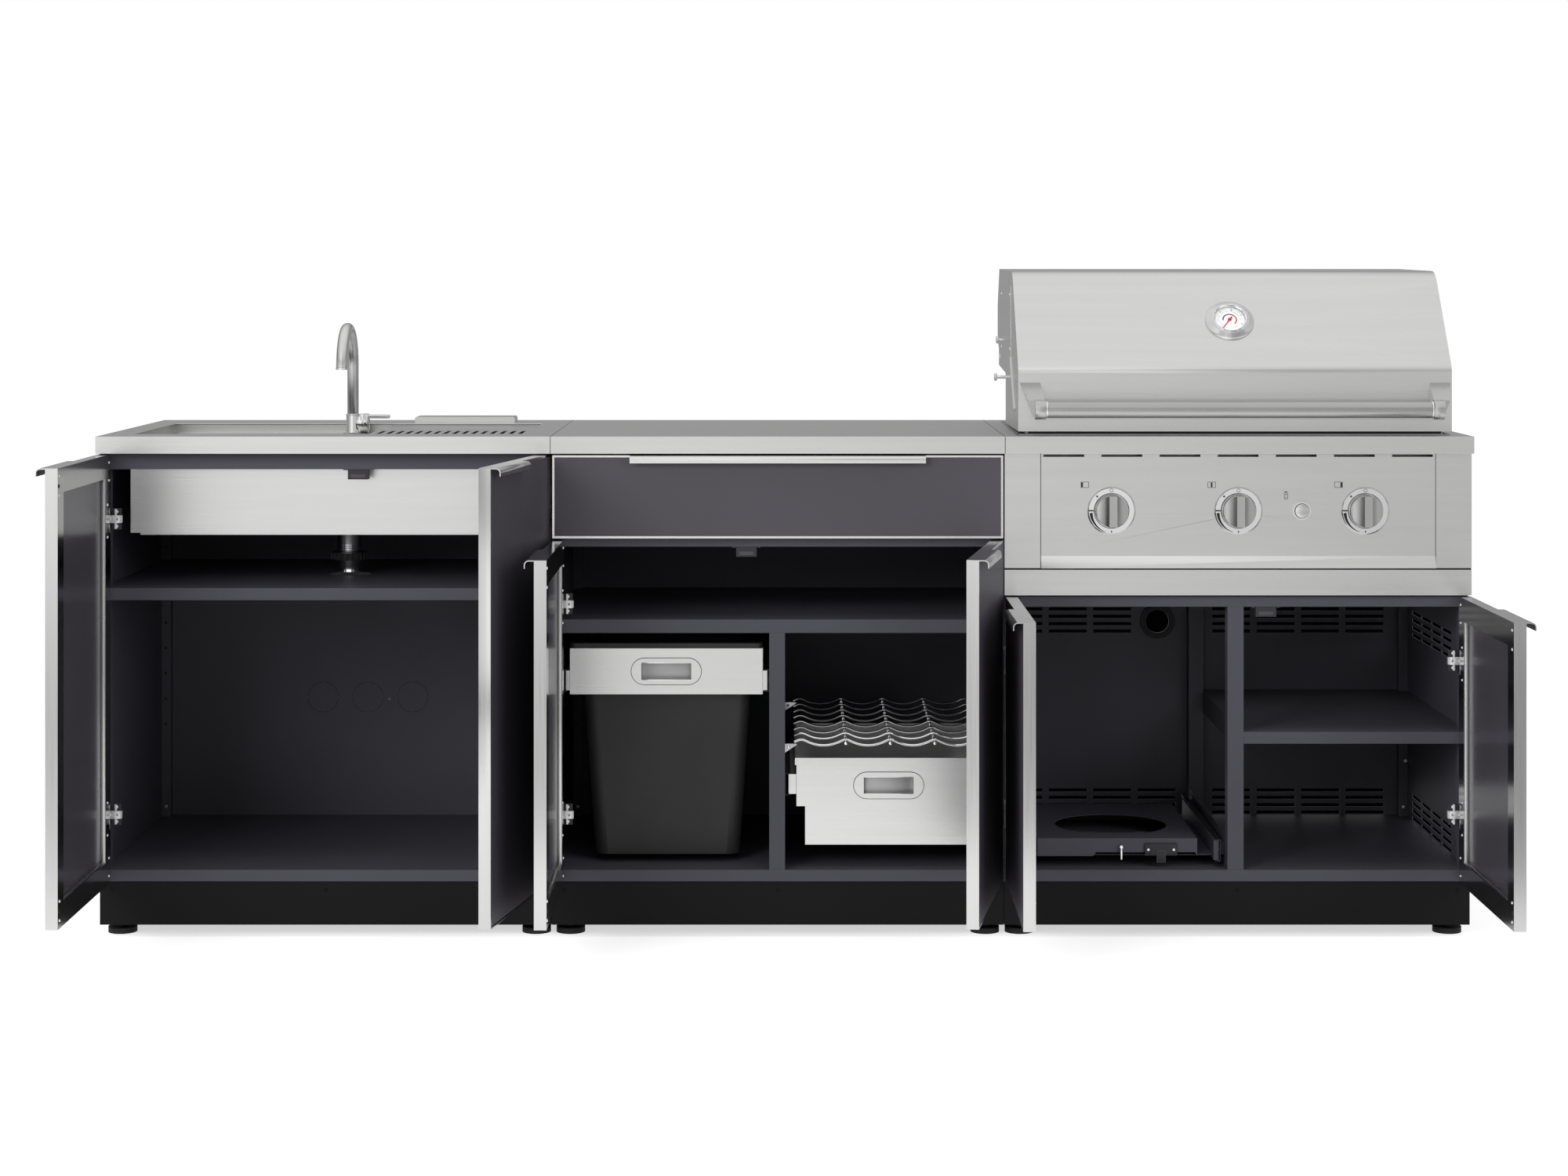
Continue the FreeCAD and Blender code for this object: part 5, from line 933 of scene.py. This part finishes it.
def bottle_rack():
    rack = Piece("wine_rack_wires", chrome)
    steps = 88
    for i in range(8):
        y, z = 50.0 + 66.0 * i, RACK_Z + RACK_RISE * i
        xs = [RACK_X[0] + (RACK_X[1] - RACK_X[0]) * k / steps for k in range(steps + 1)]
        rack.tube([(x, y, z + wave_height(x)) for x in xs], WIRE_R, 10)
    for i in range(3):
        x = RACK_FIRST + i * RACK_PITCH
        z = RACK_Z - WIRE_R - 3.12
        rack.tube([(x, 43.0, z - 0.14), (x, 43.8, z - 0.12), (x, 518.4, z + 9.22),
                   (x, 519.0, z + 9.24)], ROD_R, 14)
        rack.turned(facing("front", x, 43.0, z - 0.14),
                    [(0, 0.9), (1.4, 0.75), (2.4, 0.35), (ROD_R, 0.0)], 14)
    for wall, side, y0, row in ((0.4, 1, 44, 0), (378.1, -1, 50, 0), (0.4, 1, 506, 7),
                                (392.1, -1, 506, 7)):
        end = RACK_X[0] if side > 0 else RACK_X[1]
        x, y1 = end + side * 5, y0 + 12
        z = RACK_Z + RACK_RISE * row - WIRE_R - 0.9 + wave_height(end + side * 2)
        rack.slab(facing("front", 0.0, y1, 0.0),
                  [(wall, z - 16), (wall, z), (x, z), (x, z - 2)], 0.0, y1 - y0)
        rack.turned(facing("front", wall + side * 6.0, y0, z - 6.0),
                    [(0, 1.0), (1.6, 0.9), (2.4, 0.4), (2.6, 0)], 12)
    made = rack.done()
    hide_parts("wine_rack")


# Sink and faucet


def drain_details():
    nut = Piece("drain_nut_grip", plastic)
    nut.turned(facing("under", *DRAIN, 669.3),
               [(24.0, 0.0), (33.6, 0.0), (34.6, 1.2), (34.6, 13.4), (33.6, 14.6),
                (24.0, 14.6)], 48)
    for k in range(24):
        a, b = polar(34.6, 15.0 * k)
        nut.turned(facing("under", DRAIN[0] + a, DRAIN[1] - b, 667.8),
                   [(0, 0), (1.3, 0.2), (1.3, 11.8), (0, 12.0)], 6)
    nut.done()
    thread = Piece("drain_rings", chrome)
    for z in (676.0, 680.0, 684.0, 712.0):
        thread.turned(facing("under", *DRAIN, z),
                      [(22.9, 0.0), (23.8, 0.5), (23.8, 1.3), (22.9, 1.8)], 40)
    thread.turned(facing("under", *DRAIN, 640.0),
                  [(19.0, 0.0), (19.6, 0.4), (19.6, 2.2), (19.0, 2.6)], 40)
    thread.done()
    strainer = Piece("strainer_knob", chrome)
    strainer.turned(facing("top", *DRAIN, 726.5),
                    [(0, 7.5), (3.5, 7.2), (4.6, 6.0), (3.0, 3.4), (2.4, 0.0)], 20)
    strainer.done()


def faucet_details():
    x, y = FAUCET
    aerator = Piece("spout_aerator", chrome, "faucet_spout")
    for ring in ([(10.7, 0.0), (11.5, 0.3), (11.5, 3.2), (10.7, 3.5)],
                 [(7.4, -1.0), (10.2, -1.0), (10.4, 2.4), (9.4, 2.4), (7.4, 0.8)]):
        aerator.turned(facing("under", x, y - SPOUT_REACH, 1015.4), ring, 32)
    aerator.done()
    collar = Piece("faucet_collars", chrome)
    for z, r in ((884.3, 18.0), (919.0, 13.0)):
        collar.turned(facing("top", x, y, z),
                      [(r - 0.2, 0.0), (r + 0.7, 0.4), (r + 0.7, 2.2), (r - 0.2, 2.6)], 40)
    collar.done()
    lever = Piece("lever_details", chrome, "faucet_lever")
    lever.turned(facing("right", x + 70.0, y, 917.2),
                 [(0, 1.6), (2.4, 1.2), (3.8, 0.2), (4.0, 0)], 20)
    lever.turned(facing("right", x + 30.0, y, HUB_Z),
                 [(14.0, 0.0), (14.4, 0.5), (17.4, 0.5), (18.4, 0.0)], 32)
    lever.done()
    dot = Piece("hub_set_screw", ink, "faucet_lever")
    dot.turned(facing("front", x + 25.7, y - 18.9, HUB_Z), [(0, 0.15), (1.9, 0.15), (2.2, 0)], 12)
    dot.done()


def counter_details():
    seams = Piece("counter_seams", ink)
    high = COUNTER_TOP - 1.1
    for x in (X_BAR, X_GRILL):
        seams.block(x - 0.17, x + 0.17, *DECK_Y, COUNTER_LOW + 1.0, high)
        seams.block(x - 0.6, x + 0.6, -0.1, -0.02, COUNTER_LOW + 0.4, high)
        seams.block(x - 0.6, x + 0.6, *DECK_Y, COUNTER_TOP + 0.02, COUNTER_TOP + 0.1)
    seams.done()
    bead = Piece("basin_sealant", rubber)
    x0, x1, y0, y1, line = -1184.4, -466.6, 81.6, 470.4, 0.8
    for a, b, c, d in ((x0, x1, y0, y0 + line), (x0, x1, y1 - line, y1),
                       (x0, x0 + line, y0, y1), (x1 - line, x1, y0, y1)):
        bead.block(a, b, c, d, 899.2, 900.1)
    bead.done()


# Drawers, bin and tray


def pull_pocket(body, x, z):
    """Rim, lips and back of a flush pull."""
    rim = Piece(body + "_pull_rim", ink, body)
    points = []
    for side, start in ((1, -90), (-1, 90)):
        for k in range(13):
            a, b = polar(24.2, start + 180 * k / 12)
            points.append((x + (side * 39.5 + a), 59.3, z + b))
    rim.tube(points + points[:1], 0.55, 6)
    rim.done()
    lip = Piece(body + "_pull_lip", chrome, body)
    for dz in (-15.2, 15.2):
        lip.block(x - 44.0, x + 44.0, 58.9, 60.4, z + dz - 0.5, z + dz + 0.5, 0.15)
    lip.done()
    back = Piece(body + "_pull_pocket", steel_dull, body)
    back.block(x - 44.4, x + 44.4, 71.2, 71.9, z - 14.3, z + 14.3, 0.1)
    back.done()


def pullout_details():
    pull_pocket("bin_pullout", -214.05, 474.5)
    pull_pocket("lower_drawer", 187.7, 268.5)
    screws = Piece("drawer_screws", chrome, "top_drawer")
    middle = (X_BAR + X_GRILL) / 2
    for x in (middle - 347.3, middle, middle + 347.3):
        for z in (740.0, 840.0):
            screw(screws, "back", x, 31.2, z, 3.2)
    screws.done()
    tray = Piece("tray_wing_bolt", chrome, "tank_tray")
    tray.block(BOLT_X - 1.5, BOLT_X + 1.5, 58.7, 66.3, 133.7, 160.3, 0.9)
    tray.turned(facing("front", BOLT_X, 69.0, 157.0),
                [(0, 10.8), (2.6, 10.4), (3.4, 9.6), (3.4, 0)], 16)
    tray.done()
    latch = Piece("tray_latch_cover", plastic, "tank_tray")
    latch.block(LATCH_X - 29.4, LATCH_X + 29.4, LATCH_Y, 69.5, 140.6, 162.4, 1.6)
    latch.block(LATCH_X - 7.0, LATCH_X + 7.0, 60.6, LATCH_Y, 130.0, 151.0, 0.5)
    latch.done()
    bright = Piece("tray_latch_screws", chrome, "tank_tray")
    for x in (LATCH_X - 23.0, LATCH_X + 23.0):
        screw(bright, "front", x, LATCH_Y, 151.5, 2.8)
    bright.done()
    catch = Piece("catch_faces", slate)
    heads = Piece("catch_screws", zinc)
    for x, z in CATCHES:
        catch.block(x - 13.0, x + 13.0, 37.4, 38.2, z - 15.5, z - 9.0, 0.2)
        for dx in (-22.5, 22.5):
            screw(heads, "under", x + dx, 43.5, z - 1.5, 2.2)
    catch.done()
    heads.done()


for name in DOORS:
    door_details(name)
hinge_details()
cabinet_details()
knockout_details()
slide_details()
dial_marks()
knob_details()
panel_details()
gauge_details()
hood_details()
burner_details()
bottle_rack()
drain_details()
faucet_details()
counter_details()
pullout_details()


# Light, floor and camera


def area_light(name, place, aim, size, power):
    """Lamp that lights matt surfaces but is not mirrored in the metal."""
    data = bpy.data.lights.new(name, "AREA")
    data.shape = "RECTANGLE"
    data.size, data.size_y = size
    data.energy = power
    made = bpy.data.objects.new(name, data)
    made.location = place
    made.rotation_euler = (Vector(aim) - Vector(place)).to_track_quat("-Z", "Y").to_euler()
    made.visible_glossy = False
    bpy.context.scene.collection.objects.link(made)


class World(Net):
    """Node tree of the world, with calls for the level of its light."""

    def blended(self, fac, a, b):
        """Number that goes from a to b as fac goes from 0 to 1."""
        return self.math("ADD", a, self.math("MULTIPLY", fac, self.math("SUBTRACT", b, a)))

    def shaded(self, level, socket, depth, rise, fall):
        """Takes a share off the level between a rise and a fall of the socket."""
        share = self.math("MULTIPLY", self.ranged(socket, *rise, 0.0, depth),
                          self.ranged(socket, *fall, 1.0, 0.0))
        return self.math("MULTIPLY", level, self.math("SUBTRACT", 1.0, share))

    def stops(self, socket, pairs):
        """Smooth curve through (value, result) pairs over -1 to 1."""
        peak = max(result for _, result in pairs)
        ramp = self.node("ShaderNodeValToRGB")
        ramp.color_ramp.interpolation = "EASE"
        points = ramp.color_ramp.elements
        while len(points) < len(pairs):
            points.new(0.5)
        for point, (value, _) in zip(points, pairs):
            point.position = (value + 1) / 2
        for point, (_, result) in zip(points, pairs):
            point.color = (result / peak, result / peak, result / peak, 1.0)
        self.link(self.math("MULTIPLY", self.math("ADD", socket, 1.0), 0.5), ramp.inputs[0])
        return self.math("MULTIPLY", ramp.outputs["Color"], peak)


def studio_world():
    world = bpy.data.worlds.new("studio")
    bpy.context.scene.world = world
    world.use_nodes = True
    net = World(world.node_tree)
    out = net.node("ShaderNodeOutputWorld")
    path, plain = net.seen()
    place = net.node("ShaderNodeTexCoord")
    split = net.node("ShaderNodeSeparateXYZ")
    net.link(place.outputs["Generated"], split.inputs[0])
    x, y, z = (split.outputs[key] for key in "XYZ")
    level = net.blended(net.ranged(y, -0.9, 0.6, 1.0, 0.0), GLOSS_BACK,
                        net.stops(x, GLOSS_AHEAD))
    level = net.shaded(level, z, *LOW_BAND)
    gloss = net.blended(net.ranged(z, 0.3, 0.95, 0.0, 1.0), level, GLOSS_TOP)
    gloss = net.shaded(gloss, z, *HIGH_BAND)
    soft = net.ranged(z, -0.2, 1.0, SOFT_LOW, SOFT_HIGH)

    def background(strength=None):
        made = net.node("ShaderNodeBackground")
        made.inputs["Color"].default_value = (1, 1, 1, 1)
        if strength is not None:
            net.link(strength, made.inputs["Strength"])
        return made.outputs[0]

    other = net.mixed(path.outputs["Is Glossy Ray"], background(soft), background(gloss))
    net.link(net.mixed(plain, other, background()), out.inputs["Surface"])


def staged_sheet(name, corners):
    mesh = bpy.data.meshes.new(name)
    mesh.from_pydata(corners, [], [(0, 1, 2, 3)])
    made = bpy.data.objects.new(name, mesh)
    bpy.context.scene.collection.objects.link(made)
    material = bpy.data.materials.new(name)
    material.use_nodes = True
    mesh.materials.append(material)
    return Net(material.node_tree)


def studio_floor():
    """Matt floor, lifted to white for the camera and hidden from far reflections."""
    net = staged_sheet("floor", [(x * FLOOR_HALF, y * FLOOR_HALF, 0)
                                 for x, y in ((-1, -1), (1, -1), (1, 1), (-1, 1))])
    out = net.node("ShaderNodeOutputMaterial")
    path, plain = net.seen()
    mirrored = net.math("MULTIPLY", path.outputs["Is Glossy Ray"], FLOOR_MIRRORED)
    matt = net.node("ShaderNodeBsdfDiffuse")
    matt.inputs["Color"].default_value = (0.8, 0.8, 0.8, 1)
    glow = net.node("ShaderNodeEmission")
    net.link(net.math("MAXIMUM", net.math("MULTIPLY", plain, FLOOR_LIFT), mirrored),
             glow.inputs["Strength"])
    both = net.node("ShaderNodeAddShader")
    net.link(matt.outputs[0], both.inputs[0])
    net.link(glow.outputs[0], both.inputs[1])
    place = net.node("ShaderNodeNewGeometry")
    reach = net.node("ShaderNodeVectorMath", operation="LENGTH")
    net.link(place.outputs["Position"], reach.inputs[0])
    far = net.ranged(reach.outputs["Value"], NEAR_FLOOR, FAR_FLOOR, 0.0, 1.0)
    hidden = net.math("MULTIPLY", far, path.outputs["Is Glossy Ray"])
    clear = net.node("ShaderNodeBsdfTransparent")
    net.link(net.mixed(hidden, both.outputs[0], clear.outputs[0]), out.inputs["Surface"])


def painted_shade_sheet(name, corners):
    """Dark sheet just outside the vents: painted shade, seen only by camera rays that look out
    through them.
    """
    net = staged_sheet(name, [at(*corner) for corner in corners])
    out = net.node("ShaderNodeOutputMaterial")
    path = net.node("ShaderNodeLightPath")
    matt = net.node("ShaderNodeBsdfDiffuse")
    matt.inputs["Color"].default_value = (0.004, 0.004, 0.004, 1)
    clear = net.node("ShaderNodeBsdfTransparent")
    side = net.node("ShaderNodeNewGeometry")
    looked = net.math("MULTIPLY", path.outputs["Is Camera Ray"],
                      net.math("SUBTRACT", 1.0, side.outputs["Backfacing"]))
    net.link(net.mixed(looked, clear.outputs[0], matt.outputs[0]), out.inputs["Surface"])


def painted_shade_behind_back(name, x0, x1, z0, z1):
    """Such a painted-shade sheet behind the back panel."""
    y = BACK_IN + 6.0
    painted_shade_sheet(name, ((x0, y, z0), (x1, y, z0), (x1, y, z1), (x0, y, z1)))


studio_world()
studio_floor()
# Painted shade behind the grill cabinet's back vents, the sink cabinet's back slits and the grill
# cabinet's side vents
painted_shade_behind_back("painted_shade_back", X_GRILL + 30, X_END - 30, 110, 545)
painted_shade_behind_back("painted_shade_slits", -970, -680, 300, 410)
painted_shade_sheet("painted_shade_side", [(X_END + 2.5, y, z) for y, z in ((560, 112), (160, 112),
                                                           (160, 545), (560, 545))])
area_light("key", (-3.0, -4.4, 2.4), (0.0, 0.0, 0.6), (3.0, 2.0), 165)
area_light("fill", (3.2, -4.0, 2.2), (0.4, 0.0, 0.6), (2.5, 2.0), 60)
area_light("top", (0.0, -0.4, 4.2), (0.0, 0.2, 0.9), (4.0, 2.0), 40)

camera_data = bpy.data.cameras.new("camera")
camera_data.lens = 70
camera_data.sensor_width = 36
camera_data.shift_y = -0.202
camera = bpy.data.objects.new("camera", camera_data)
camera.location = at(-1.45, -5446, 1197)
camera.rotation_euler = (math.radians(90), 0, 0)
bpy.context.scene.collection.objects.link(camera)
bpy.context.scene.camera = camera
bpy.context.scene.view_settings.view_transform = "Standard"

bpy.context.view_layer.update()
